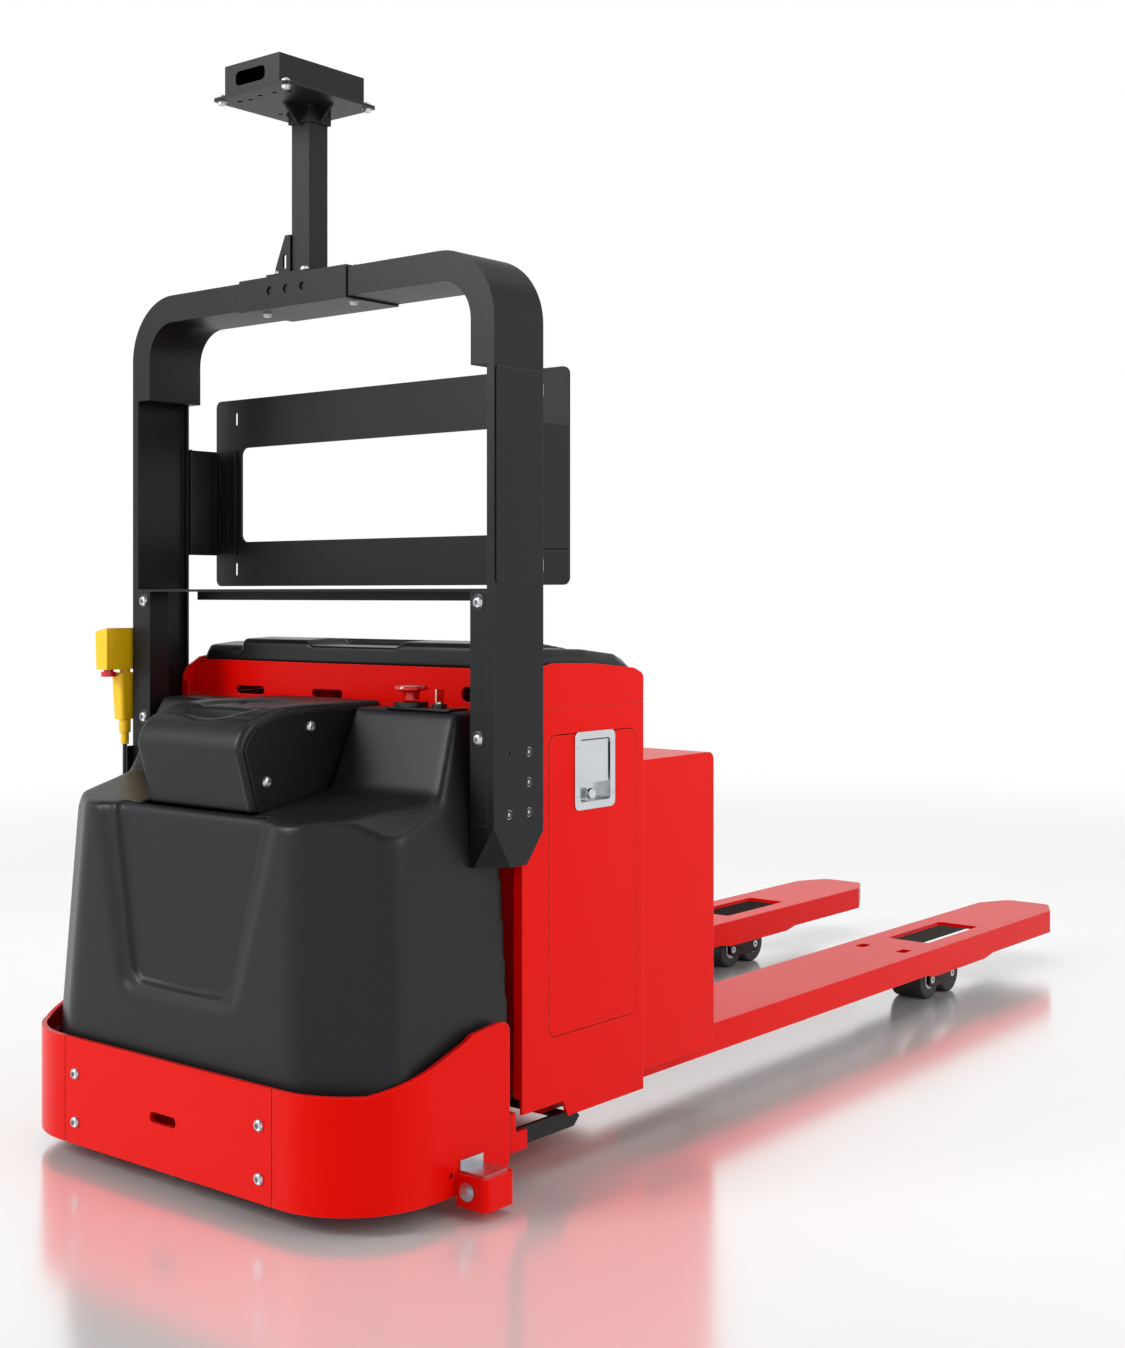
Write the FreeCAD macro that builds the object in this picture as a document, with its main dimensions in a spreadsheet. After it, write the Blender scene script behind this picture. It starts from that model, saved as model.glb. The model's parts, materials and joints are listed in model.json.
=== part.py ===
# Autonomous electric pallet truck, built as separate pieces in one frame.
# Millimetres. X across the truck (+X is its right side), Y from the drive unit (-Y) to the fork
# tips (+Y), Z up. The origin is on the floor at the middle of the truck's outer box.
import FreeCAD, Part
import math
import os
import Sketcher

doc = FreeCAD.newDocument("pallet_truck")

# ---------------------------------------------------------------- driving dimensions
DRIVING = {
    # overall chain along Y
    "body_width": 800, "chassis_length": 342, "body_gap": 8, "box_length": 300,
    "rear_length": 200, "fork_length": 1550, "side_reach": 56,
    # clearances
    "seat_gap": 0.3, "pin_gap": 0.06, "fit_gap": 0.5,
    # bumper
    "bumper_sheet": 8, "bumper_low": 28, "bumper_front_top": 190, "bumper_side_top": 252,
    "bumper_length": 310, "bumper_radius": 150, "plate_margin": 15, "seam_gap": 2,
    "slot_half": 22, "slot_radius": 8, "slot_level": 104,
    "screw_margin": 25, "bumper_screw_low": 62, "bumper_screw_high": 136,
    # fasteners
    "button_radius": 9, "button_height": 5,
    # drive frame
    "frame_sheet": 8, "frame_half": 340, "frame_front": 44, "frame_low": 60, "deck_top": 300,
    "bulkhead_sheet": 12, "bulkhead_low": 62, "bulkhead_top": 690, "ear_low": 500,
    "shelf_low": 148, "castor_bay": 150,
    # drive unit
    "turret_y": 185, "turret_radius": 104, "flange_radius": 125, "tyre_radius": 115,
    "tyre_half": 37.5, "hub_radius": 84, "axle_radius": 20, "cheek_sheet": 20,
    "motor_radius": 74, "motor_height": 190,
    # castors
    "castor_x": 240, "castor_y": 232, "castor_trail": 30, "castor_radius": 50,
    "castor_half": 18, "castor_sheet": 5, "castor_axle": 7,
    # cover
    "cover_sheet": 5, "cover_low": 165, "cover_low_half": 385, "cover_top_half": 352,
    "cover_shelf": 552, "cover_step": 578, "cover_top": 698, "console_foot": 210,
    "console_head": 264, "console_half": 338,
    "console_soft": 26, "console_round": 12, "panel_low": 285,
    # nose hood
    "hood_half": 118, "hood_low": 553, "hood_top": 705, "hood_sheet": 4, "hood_slot": 8,
    "hood_round": 9,
    # controls on the console
    "estop_x": 222, "control_y": 290, "estop_radius": 24, "estop_stem": 14,
    "estop_ring": 26, "ring_height": 7, "press_travel": 6, "key_x": 280, "plate_sheet": 3,
    # portal
    "portal_half": 412, "portal_sheet": 4, "portal_y": 262, "portal_depth": 110,
    "portal_top": 1372, "bow_height": 45, "bow_radius": 105, "leg_flange": 14, "leg_low": 476,
    "foot_top": 537, "foot_inner": 366, "notch_level": 1200, "sleeve_half": 123,
    "sleeve_sheet": 3, "sleeve_x": -10, "shelf_level": 878, "shelf_depth": 76, "foot_cut": 38,
    # frame behind the portal
    "back_y": 440, "back_half": 405, "back_low": 884, "back_top": 1214, "window_half": 338,
    "window_low": 962, "window_top": 1128, "bracket_low": 939, "bracket_top": 1124,
    # mast and sensor head
    "mast_x": -22, "mast_y": 310, "mast_half": 20, "mast_sheet": 3, "mast_top": 1645,
    "head_y": 279, "plate_half": 86, "plate_reach": 98, "head_half": 63, "head_reach": 90,
    "head_height": 48,
    "head_sheet": 2.5,
    # lifting body
    "box_half": 390, "box_sheet": 5, "box_low": 103, "box_skirt": 78, "box_split": 697,
    "box_inset": 34, "hood_side_top": 766, "lid_top": 784, "lid_spine": 796, "lid_field": 268,
    "lid_channel": 98, "rear_low": 107, "rear_top": 604,
    "door_low": 203, "door_top": 658, "door_start": 60, "door_margin": 19,
    "door_radius": 18, "door_gap": 1.5, "door_sheet": 4, "latch_margin": 109, "latch_level": 599,
    "latch_half": 50, "latch_reach": 60, "latch_clear": 0.5,
    "pivot_rise": 42, "base_sheet": 8, "lift_rod": 10, "lift_barrel": 18,
    "bracket_level": 560, "rail_x": 300,
    # forks
    "fork_outer": 345, "fork_width": 180, "fork_height": 50, "fork_top": 125, "fork_sheet": 8,
    "fork_belly": 7, "fork_start": 446, "tip_taper": 78, "tip_chamfer": 35, "window_x": 47.5,
    # load wheels and their linkage
    "roller_radius": 42, "roller_half": 37, "roller_pitch": 92, "roller_hub": 20,
    "roller_axle": 9, "bogie_sheet": 6, "bogie_rise": 8, "bogie_y": 1866, "arm_length": 190,
    "arm_sheet": 8, "arm_half": 13, "arm_drop": 49, "arm_lever": 19, "pivot_radius": 8,
    "rocker_y": 494, "rocker_level": 64, "rocker_tube": 7, "rocker_arm": 140,
    "rocker_lever": 16, "rocker_half": 372, "pull_rod": 5,
    # side blocks
    "block_y": 195, "block_length": 62, "block_low": 14, "block_height": 46,
    # pendant
    "pendant_y": 262, "pendant_x": 434,
}

# Places that follow from the driving dimensions.
DERIVED = {
    "total_length": "chassis_length + body_gap + box_length + rear_length + fork_length",
    "front": "(button_height - total_length) / 2",
    "bulkhead_back": "front + chassis_length",
    "bulkhead_face": "bulkhead_back - bulkhead_sheet",
    "box_y": "bulkhead_back + body_gap",
    "wall_y": "box_y + box_inset",
    "rear_y": "box_y + box_length",
    "fork_y": "rear_y + rear_length",
    "tip_y": "fork_y + fork_length",
    "body_half": "body_width / 2",
    "bumper_plate_half": "body_half - bumper_radius - plate_margin",
    "bumper_screw_x": "bumper_plate_half - screw_margin",
    "door_end": "box_length - door_margin",
    "latch_y": "door_end - latch_margin",
    "portal_front": "front + portal_y",
    "portal_back": "portal_front + portal_depth",
    "fork_inner": "fork_outer - fork_width",
    "fork_x": "fork_outer - fork_width / 2",
    "fork_low": "fork_top - fork_height",
    "pivot_level": "roller_radius + bogie_rise",
    "arm_level": "pivot_level + arm_drop",
    "arm_reach": "sqrt(arm_length * arm_length - arm_drop * arm_drop)",
    "wheel_y": "front + bogie_y",
    "arm_y": "wheel_y - arm_reach",
    "rocker_place": "front + rocker_y",
    "rod_level": "rocker_level + rocker_lever",
    "drive_y": "front + turret_y",
    "mast_place": "front + mast_y",
}


class Size:
    """A length that knows its value and the sheet expression that it comes from."""

    def __init__(self, value, text):
        self.value = float(value)
        self.text = text

    @staticmethod
    def of(other):
        if isinstance(other, Size):
            return other
        return Size(other, repr(float(other)))

    def join(self, other, sign, result):
        return Size(result, "(" + self.text + " " + sign + " " + other.text + ")")

    def __add__(self, other):
        other = Size.of(other)
        return self.join(other, "+", self.value + other.value)

    def __sub__(self, other):
        other = Size.of(other)
        return self.join(other, "-", self.value - other.value)

    def __mul__(self, other):
        other = Size.of(other)
        return self.join(other, "*", self.value * other.value)

    def __truediv__(self, other):
        other = Size.of(other)
        return self.join(other, "/", self.value / other.value)

    def __radd__(self, other):
        return Size.of(other) + self

    def __rsub__(self, other):
        return Size.of(other) - self

    def __rmul__(self, other):
        return Size.of(other) * self

    def __neg__(self):
        return Size(-self.value, "(-1 * " + self.text + ")")

    def __float__(self):
        return self.value


class Sizes:
    """The sheet of driving dimensions, each read back by its alias."""

    def __init__(self, table, derived):
        self.sheet = doc.addObject("Spreadsheet::Sheet", "Sizes")
        rows = [(alias, str(value)) for alias, value in table.items()]
        rows += [(alias, "=" + formula) for alias, formula in derived.items()]
        for row, (alias, text) in enumerate(rows, start=1):
            self.sheet.set("A%d" % row, alias)
            self.sheet.set("B%d" % row, text)
            self.sheet.setAlias("B%d" % row, alias)
        doc.recompute()

    def __getattr__(self, alias):
        return Size(self.sheet.get(alias), "Sizes." + alias)


s = Sizes(DRIVING, DERIVED)
pieces = {}


def tie(target, prop, size):
    """Set a property, and bind it to the sheet when the size comes from there."""
    size = Size.of(size)
    if "Sizes." in size.text:
        target.setExpression(prop, size.text)
    else:
        holder = target
        path = prop.split(".")
        if len(path) == 1:
            setattr(holder, prop, size.value)
        else:
            target.setExpression(prop, size.text)


PLANES = {"XY": "XY_Plane", "XZ": "XZ_Plane", "YZ": "YZ_Plane"}


class Piece:
    """One sub-part: a body made of blocks, rods, profiles and lofts."""

    def __init__(self, label, keep=True):
        self.body = doc.addObject("PartDesign::Body", label)
        self.body.Label = label
        if keep:
            pieces[label] = self.body

    def block(self, low, high, cut=False):
        kind = "PartDesign::SubtractiveBox" if cut else "PartDesign::AdditiveBox"
        box = self.body.newObject(kind, "Block")
        for prop, a, b in zip(("Length", "Width", "Height"), low, high):
            tie(box, prop, Size.of(b) - Size.of(a))
        for axis, a in zip("xyz", low):
            tie(box, "Placement.Base." + axis, a)
        return self

    def rod(self, axis, centre, low, high, radius, cut=False):
        """A cylinder along an axis, between two places on it; centre gives the other two."""
        kind = "PartDesign::SubtractiveCylinder" if cut else "PartDesign::AdditiveCylinder"
        rod = self.body.newObject(kind, "Rod")
        turn = {"X": (0, 1, 0, 90), "Y": (1, 0, 0, -90), "Z": (0, 0, 1, 0)}[axis]
        rod.Placement = FreeCAD.Placement(
            FreeCAD.Vector(), FreeCAD.Rotation(FreeCAD.Vector(*turn[:3]), turn[3]))
        tie(rod, "Radius", radius)
        tie(rod, "Height", Size.of(high) - Size.of(low))
        place = {"X": (low,) + tuple(centre), "Z": tuple(centre) + (low,)}
        place["Y"] = (centre[0], low, centre[1])
        for name, value in zip("xyz", place[axis]):
            tie(rod, "Placement.Base." + name, value)
        return self

    def sketch(self, plane, at, loops):
        """A sketch whose corners are tied to the sheet. A corner is (a, b), and
        (a, b, radius, side) reaches it along an arc that bulges to that side of the way."""
        drawing = self.body.newObject("Sketcher::SketchObject", "Outline")
        role = PLANES[plane]
        origin = [f for f in self.body.Origin.OriginFeatures if f.Role == role][0]
        drawing.AttachmentSupport = [(origin, "")]
        drawing.MapMode = "FlatFace"
        tie(drawing, "AttachmentOffset.Base.z", -Size.of(at) if plane == "XZ" else Size.of(at))
        for loop in loops:
            self.draw_loop(drawing, loop)
        return drawing

    def draw_loop(self, drawing, loop):
        if loop[0] == "circle":
            a, b, radius = loop[1:]
            shape = Part.Circle(FreeCAD.Vector(float(a), float(b), 0),
                                FreeCAD.Vector(0, 0, 1), float(radius))
            ring = drawing.addGeometry(shape, False)
            self.pin_point(drawing, ring, 3, a, b)
            self.pin_value(drawing, Sketcher.Constraint("Radius", ring, float(radius)), radius)
            return
        count = len(loop)
        edges = []
        for index in range(count):
            start, end = loop[index], loop[(index + 1) % count]
            p = FreeCAD.Vector(float(start[0]), float(start[1]), 0)
            q = FreeCAD.Vector(float(end[0]), float(end[1]), 0)
            if len(end) == 2:
                edges.append((drawing.addGeometry(Part.LineSegment(p, q), False), 1, 2))
                continue
            arc, start_end, finish_end = arc_between(p, q, float(end[2]), end[3])
            number = drawing.addGeometry(arc, False)
            edges.append((number, start_end, finish_end))
            radius = Sketcher.Constraint("Radius", number, float(end[2]))
            self.pin_value(drawing, radius, end[2])
        for index in range(count):
            number, start_end, finish_end = edges[index]
            after, after_start, after_finish = edges[(index + 1) % count]
            drawing.addConstraint(Sketcher.Constraint(
                "Coincident", number, finish_end, after, after_start))
            self.pin_point(drawing, number, start_end, loop[index][0], loop[index][1])

    def pin_point(self, drawing, number, end, a, b):
        for kind, value, zero_axis in (("DistanceX", a, -2), ("DistanceY", b, -1)):
            if abs(float(value)) < 1e-9:
                rule = Sketcher.Constraint("PointOnObject", number, end, zero_axis)
                drawing.addConstraint(rule)
            else:
                rule = Sketcher.Constraint(kind, -1, 1, number, end, float(value))
                self.pin_value(drawing, rule, value)

    def pin_value(self, drawing, rule, value):
        index = drawing.addConstraint(rule)
        value = Size.of(value)
        if "Sizes." in value.text:
            drawing.setExpression("Constraints[%d]" % index, value.text)

    def prism(self, plane, loops, low, high, cut=False):
        """A profile drawn on a plane and carried from one place to another along its normal."""
        low, high = Size.of(low), Size.of(high)
        if cut:
            drawing = self.sketch(plane, low if plane == "XZ" else high, loops)
            feature = self.body.newObject("PartDesign::Pocket", "Pocket")
        else:
            drawing = self.sketch(plane, low, loops)
            feature = self.body.newObject("PartDesign::Pad", "Pad")
            feature.Reversed = plane == "XZ"
        feature.Profile = drawing
        tie(feature, "Length", high - low)
        return self

    def loft(self, plane, sections, cut=False):
        """Straight walls through profiles at different places along a plane's normal."""
        kind = "PartDesign::SubtractiveLoft" if cut else "PartDesign::AdditiveLoft"
        drawings = [self.sketch(plane, at, [loop]) for at, loop in sections]
        feature = self.body.newObject(kind, "Loft")
        feature.Profile = drawings[0]
        feature.Sections = drawings[1:]
        feature.Ruled = True
        return self

    def soften(self, radius, chosen, chamfer=False):
        """Round or chamfer the edges that the test picks."""
        doc.recompute()
        base = self.body.Tip
        names = ["Edge%d" % (i + 1) for i, edge in enumerate(base.Shape.Edges) if chosen(edge)]
        if not names:
            raise RuntimeError(self.body.Label + ": no edge to soften")
        kind = "PartDesign::Chamfer" if chamfer else "PartDesign::Fillet"
        feature = self.body.newObject(kind, "Soften")
        feature.Base = (base, names)
        tie(feature, "Size" if chamfer else "Radius", radius)
        return self


def arc_between(p, q, radius, side):
    """The short arc from p to q, and which of its ends is p and which is q."""
    middle = (p + q) * 0.5
    half = (q - p).Length / 2
    rise = math.sqrt(max(radius * radius - half * half, 0.0))
    along = (q - p).normalize()
    left = FreeCAD.Vector(-along.y, along.x, 0)
    centre = middle - left * rise if side == "left" else middle + left * rise
    start = math.atan2(p.y - centre.y, p.x - centre.x)
    end = math.atan2(q.y - centre.y, q.x - centre.x)
    circle = Part.Circle(centre, FreeCAD.Vector(0, 0, 1), radius)
    if side == "left":
        start, end = end, start
    while end < start:
        end += 2 * math.pi
    arc = Part.ArcOfCircle(circle, start, end)
    return (arc, 2, 1) if side == "left" else (arc, 1, 2)


def mirrored(source, label):
    """The same piece on the truck's other side."""
    twin = doc.addObject("Part::Mirroring", label)
    twin.Label = label
    twin.Source = source.body
    twin.Normal = FreeCAD.Vector(1, 0, 0)
    pieces[label] = twin
    return twin


def pair(source, label):
    """A piece and its mirror twin in one node, as two separate solids."""
    twin = doc.addObject("Part::Mirroring", source.body.Label + "_twin")
    twin.Source = source.body
    twin.Normal = FreeCAD.Vector(1, 0, 0)
    both = doc.addObject("Part::Compound", label)
    both.Label = label
    both.Links = [source.body, twin]
    pieces[label] = both
    return both


def group(parts, label):
    """Several separate solids in one node."""
    both = doc.addObject("Part::Compound", label)
    both.Label = label
    both.Links = [part.body for part in parts]
    pieces[label] = both
    return both


def along(axis):
    """Picks straight edges that run along an axis."""
    way = {"X": FreeCAD.Vector(1, 0, 0), "Y": FreeCAD.Vector(0, 1, 0), "Z": FreeCAD.Vector(0, 0, 1)}

    def test(edge):
        if len(edge.Vertexes) != 2:
            return False
        span = edge.Vertexes[1].Point - edge.Vertexes[0].Point
        return span.Length > 1e-6 and abs(span.normalize().dot(way[axis])) > 0.9999
    return test


def near(edge, x=None, y=None, z=None, slack=0.6):
    """True where an edge's middle lies at the given place."""
    middle = edge.CenterOfMass
    wanted = ((x, middle.x), (y, middle.y), (z, middle.z))
    return all(goal is None or abs(float(goal) - got) < slack for goal, got in wanted)


def rounded(a0, b0, a1, b1, radius):
    """A rectangle with round corners, as a loop for a sketch."""
    a0, b0, a1, b1 = Size.of(a0), Size.of(b0), Size.of(a1), Size.of(b1)
    return [(a0 + radius, b0, radius, "right"), (a1 - radius, b0),
            (a1, b0 + radius, radius, "right"), (a1, b1 - radius),
            (a1 - radius, b1, radius, "right"), (a0 + radius, b1),
            (a0, b1 - radius, radius, "right"), (a0, b0 + radius)]


def slot(a, b, half_a, half_b):
    """A slot with round ends about a middle, given its half sizes."""
    radius = 0.97 * min(float(half_a), float(half_b))
    return rounded(a - half_a, b - half_b, a + half_a, b + half_b, radius)


def box_loop(a0, b0, a1, b1):
    return [(a0, b0), (a1, b0), (a1, b1), (a0, b1)]


def at(offset):
    """A place along the truck, counted back from the bumper's face."""
    return s.front + offset


# ---------------------------------------------------------------- drive frame
def build_drive_frame():
    frame = Piece("drive_frame")
    face, back = s.bulkhead_face, s.bulkhead_back
    half, sheet = s.frame_half, s.frame_sheet
    deck = s.deck_top - sheet
    frame.block((-half, face, s.bulkhead_low), (half, back, s.bulkhead_top))
    ear = s.portal_half - s.portal_sheet
    frame.block((-ear, face, s.ear_low), (ear, back, s.bulkhead_top - 40))
    frame.block((-half, at(s.frame_front), deck), (half, face, s.deck_top))
    frame.block((-half, at(s.frame_front), s.frame_low), (half, at(s.frame_front) + sheet, deck))
    for side in (-1, 1):
        low, high = sorted((side * half, side * (half - sheet)), key=float)
        frame.block((low, at(s.frame_front), s.frame_low), (high, face, deck))
        inner, outer = sorted((side * s.castor_bay, side * half), key=float)
        frame.block((inner, at(s.castor_y) - 62, s.shelf_low), (outer, face, s.shelf_low + sheet))
        web_low, web_high = sorted((side * s.castor_bay, side * (s.castor_bay + sheet)), key=float)
        frame.block((web_low, at(s.castor_y) - 62, s.shelf_low), (web_high, face, deck))
        # spacers that carry the bumper
        a, b = sorted((side * 150, side * 200), key=float)
        frame.block((a, at(s.bumper_sheet), 84), (b, at(s.frame_front), 118))
        skirt = s.body_half - s.bumper_sheet
        a, b = sorted((side * half, side * skirt), key=float)
        frame.block((a, at(186), 84), (b, at(226), 118))
        # lug for the rocker's front pin
        a, b = sorted((side * half, side * (s.rocker_half + 12)), key=float)
        frame.block((a, face, s.rocker_level + 24), (b, back, s.rocker_level + 44))
        a, b = sorted((side * (s.rocker_half + 4), side * (s.rocker_half + 12)), key=float)
        frame.block((a, face, s.rocker_level - 14), (b, back, s.rocker_level + 30))
        frame.block((a, back, s.rocker_level - 14), (b, back + 26, s.rocker_level + 14))
        a, b = sorted((side * (s.rocker_half - 12), side * (s.rocker_half + 10)), key=float)
        pin_y = s.rocker_place - s.rocker_arm
        frame.rod("X", (pin_y, s.rocker_level), a, b, 6)
        # rail that the lifting body slides on
        a, b = sorted((side * (s.rail_x - 8), side * (s.rail_x + 8)), key=float)
        frame.block((a, back, 300), (b, back + 14, 640))
    # foot of the lift cylinder
    frame.block((-30, back, 96), (30, back + 40, 110))
    frame.rod("Z", (0, s.drive_y), deck, s.deck_top, s.turret_radius, cut=True)
    # corners taken back behind the cover's nose
    start = at(s.frame_front) - 5
    for side in (-1, 1):
        corner = [(side * 232, start), (side * (half + 5), start), (side * (half + 5), at(118))]
        if side < 0:
            corner.reverse()
        frame.prism("XY", [corner], s.frame_low + 80, s.deck_top + 5, cut=True)
    # cable windows through the bulkhead
    for side in (-1, 1):
        a, b = sorted((side * 70, side * 210), key=float)
        frame.prism("XZ", [rounded(a, 420, b, 480, 14)], face, back, cut=True)
    return frame


# ---------------------------------------------------------------- bumper
def build_bumper():
    low, top = s.bumper_low, s.bumper_front_top
    face, inner = s.front, s.front + s.bumper_sheet
    plate = Piece("bumper_front_plate")
    half = s.bumper_plate_half
    plate.prism("XZ", [box_loop(-half, low, half, top)], face, inner)
    opening = slot(0, s.slot_level, s.slot_half + s.slot_radius, s.slot_radius)
    plate.prism("XZ", [opening], face, inner, cut=True)

    skirt = Piece("bumper_skirt_right")
    outer, turn, sheet = s.body_half, s.bumper_radius, s.bumper_sheet
    start, end = half + s.seam_gap, at(s.bumper_length)
    plan = [(start, face), (outer - turn, face), (outer, face + turn, turn, "right"),
            (outer, end), (outer - sheet, end), (outer - sheet, face + turn),
            (outer - turn, face + sheet, turn - sheet, "left"), (start, face + sheet)]
    skirt.prism("XY", [plan], low, s.bumper_side_top)
    over = s.bumper_side_top + 10
    above = [(face - 5, top), (at(60), top), (at(112), top + 14), (at(216), s.bumper_side_top - 14),
             (at(230), s.bumper_side_top - 6), (at(284), s.bumper_side_top),
             (end - 16, s.bumper_side_top), (end, s.bumper_side_top - 16, 16, "left"),
             (end + 5, s.bumper_side_top - 16), (end + 5, over), (face - 5, over)]
    skirt.prism("YZ", [above], 0, outer + 5, cut=True)
    under = [(end - 34, low), (end - 6, low + 10), (end, low + 22), (end + 5, low + 22),
             (end + 5, low - 5), (end - 34, low - 5)]
    skirt.prism("YZ", [under], 0, outer + 5, cut=True)
    skirt.rod("X", (at(186), 58), outer - sheet, outer, 5, cut=True)
    mirrored(skirt, "bumper_skirt_left")


# ---------------------------------------------------------------- cover
def cover_plan(level, inset, front_inset):
    """The cover's plan at a height: a blunt nose, long soft corners and straight sides."""
    rise = (level - s.cover_low) / (s.cover_top - s.cover_low)
    half = s.cover_low_half - (s.cover_low_half - s.cover_top_half) * rise - inset
    nose = at(17) + 26 * rise + front_inset
    flat, corner = half - 128, 18
    back = s.bulkhead_face - s.seat_gap
    side = nose + 78 - 0.3 * front_inset
    slope_x, slope_y = (half - flat) * 0.16, (side - nose) * 0.16
    bend, soft = 0.16, 60
    near_x, near_y = flat + (half - flat) * bend, nose + (side - nose) * bend
    far_x, far_y = half - (half - flat) * bend, side - (side - nose) * bend
    return [(flat - corner, nose), (near_x, near_y, soft, "right"), (far_x, far_y),
            (half, side + corner, soft, "right"), (half, back),
            (-half, back), (-half, side + corner), (-far_x, far_y, soft, "right"),
            (-near_x, near_y), (-(flat - corner), nose, soft, "right")]


def cover_solid(label, inset, front_inset, top_inset, bottom):
    """The cover's outside, or its inside when it is drawn inset."""
    solid = Piece(label, keep=False)
    top = s.cover_top - top_inset
    solid.loft("XY", [(bottom, cover_plan(bottom, inset, front_inset)),
                      (s.cover_top + 20, cover_plan(s.cover_top + 20, inset, front_inset))])
    shelf, step = s.cover_shelf - top_inset, s.cover_step - top_inset
    back = s.bulkhead_face + 10
    foot, head = s.console_foot + top_inset, s.console_head + top_inset
    above = [(at(-20), shelf - 14), (at(60), shelf), (at(foot), step), (at(head), top),
             (back, top), (back, top + 80), (at(-20), top + 80)]
    solid.prism("YZ", [above], -(s.body_half + 40), s.body_half + 40, cut=True)
    # sloping shoulders beside the shelf, then the console's own sides
    far, near_x = s.body_half + 20, s.hood_half + 132
    drop, ridge = top_inset * 1.4, s.console_half - top_inset
    foot_x = ridge + 20
    for side in (-1, 1):
        def shoulder(low, high):
            points = [(side * far, low), (side * near_x, high), (side * near_x, high + 180),
                      (side * far, high + 180)]
            return points if side > 0 else list(reversed(points))
        solid.loft("XZ", [(at(-20), shoulder(shelf - 126 - drop, shelf + 1 - drop)),
                          (at(foot), shoulder(shelf - 30 - drop, shelf + 97 - drop))], cut=True)
        flank = [(side * ridge, top + 40), (side * ridge, top - 8), (side * foot_x, step - 12),
                 (side * far, step - 38), (side * far, top + 40)]
        if side > 0:
            flank.reverse()
        solid.prism("XZ", [flank], at(foot) - 8, back, cut=True)
    if inset == 0:
        solid.soften(s.console_soft, lambda e: near(e, y=at(foot), z=step) and e.Length > 500)
        solid.soften(s.console_round, lambda e: near(e, y=at(head), z=top) and e.Length > 500)
    return solid


def build_cover():
    sheet = s.cover_sheet
    outer = cover_solid("cover_outside", 0, 0, 0, s.cover_low)
    # sunk panel on the nose
    slope = Size.of(26) / (s.cover_top - s.cover_low)
    low, high = s.panel_low, s.cover_shelf + 6

    def panel(level, half, depth):
        nose = at(17) + slope * (level - s.cover_low)
        return [(-half - 30, nose - 6), (half + 30, nose - 6), (half, nose + depth),
                (-half, nose + depth)]
    outer.loft("XY", [(low - 18, panel(low - 18, 100, 0.2)), (low, panel(low, 118, 8)),
                      (high, panel(high, 190, 8))], cut=True)
    inner = cover_solid("cover_inside", sheet, 14, sheet, s.cover_low - 10)
    shell = doc.addObject("Part::Cut", "cover_shell")
    shell.Base = outer.body
    shell.Tool = inner.body
    # well for the nose hood, open to the back
    well = Piece("cover_well", keep=False)
    reach = s.hood_half + s.hood_sheet + s.hood_slot
    well.block((-reach, at(62), s.hood_low - 30), (reach, s.bulkhead_face + 10, s.cover_top + 60))
    cover = doc.addObject("Part::Cut", "cover")
    cover.Base = shell
    cover.Tool = well.body
    cover.Label = "cover"
    pieces["cover"] = cover


# ---------------------------------------------------------------- nose hood
def hood_profile(inset):
    """The nose hood seen from the side: it leans forward, then rolls over into a flat top."""
    top, low = s.hood_top - inset, s.hood_low
    back = s.bulkhead_face - s.seat_gap
    return [(at(68) + inset, low), (at(42) + inset, s.hood_top - 62),
            (at(84) + inset * 0.7, s.hood_top - 15 - inset * 0.7, 50, "left"),
            (at(150) + inset * 0.2, top - 1, 170, "left"), (at(170), top), (back, top),
            (back, low)]


def hood_edge(edge, half, low, back):
    """Picks the outline of the hood's sides, but not its foot or its open back."""
    flat = all(abs(abs(v.Point.x) - float(half)) < 0.01 for v in edge.Vertexes)
    middle = edge.CenterOfMass
    return (flat and abs(abs(middle.x) - float(half)) < 0.01
            and middle.z > float(low) + 2 and middle.y < float(back) - 2)


def build_hood():
    half, sheet = s.hood_half, s.hood_sheet
    hood = Piece("steering_hood")
    hood.prism("YZ", [hood_profile(0)], -half, half)
    back = s.bulkhead_face - s.seat_gap
    hood.soften(s.hood_round, lambda e: hood_edge(e, half, s.hood_low, back))
    hood.prism("YZ", [hood_profile(sheet)], -(half - sheet), half - sheet, cut=True)
    side = Piece("hood_side_right")
    side.prism("YZ", [hood_profile(s.hood_round + 1)], half, half + sheet)
    pieces.pop("hood_side_right")
    pair(side, "hood_sides")
    hood.rod("Z", (0, at(178)), s.hood_top - 3, s.hood_top + 5, 60, cut=True)


# ---------------------------------------------------------------- console controls
def build_controls():
    top = s.cover_top
    plate = Piece("console_panel")
    x, y = s.estop_x, at(s.control_y)
    plate.prism("XY", [rounded(x - 34, y - 24, x + 96, y + 24, 8)], top, top + s.plate_sheet)
    face = top + s.plate_sheet
    plate.rod("Z", (x, y), face, face + s.ring_height, s.estop_ring)
    plate.rod("Z", (x, y), face, face + s.ring_height + 1, s.estop_stem + s.fit_gap, cut=True)
    stop = Piece("estop_button")
    lift = face + s.ring_height + s.press_travel
    stop.rod("Z", (x, y), face + s.press_travel + 0.3, lift + 14, s.estop_stem)
    stop.rod("Z", (x, y), lift + 8, lift + 20, s.estop_radius)
    stop.soften(5, lambda e: round_at(e, s.estop_radius, lift + 20))
    key_x = s.key_x
    plate.rod("Z", (key_x, y), face, face + 6, 11)
    plate.rod("Z", (key_x, y), face, face + 7, 6 + s.pin_gap, cut=True)
    key = Piece("key")
    key.rod("Z", (key_x, y), face + 0.3, face + 9, 6)
    key.block((key_x - 1.5, y - 8, face + 8), (key_x + 1.5, y + 8, face + 28))


def round_at(edge, radius, level):
    """Picks a full circle of a radius at a height."""
    curve = edge.Curve
    if not hasattr(curve, "Radius"):
        return False
    return abs(curve.Radius - float(radius)) < 0.01 and near(edge, z=level)


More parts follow.
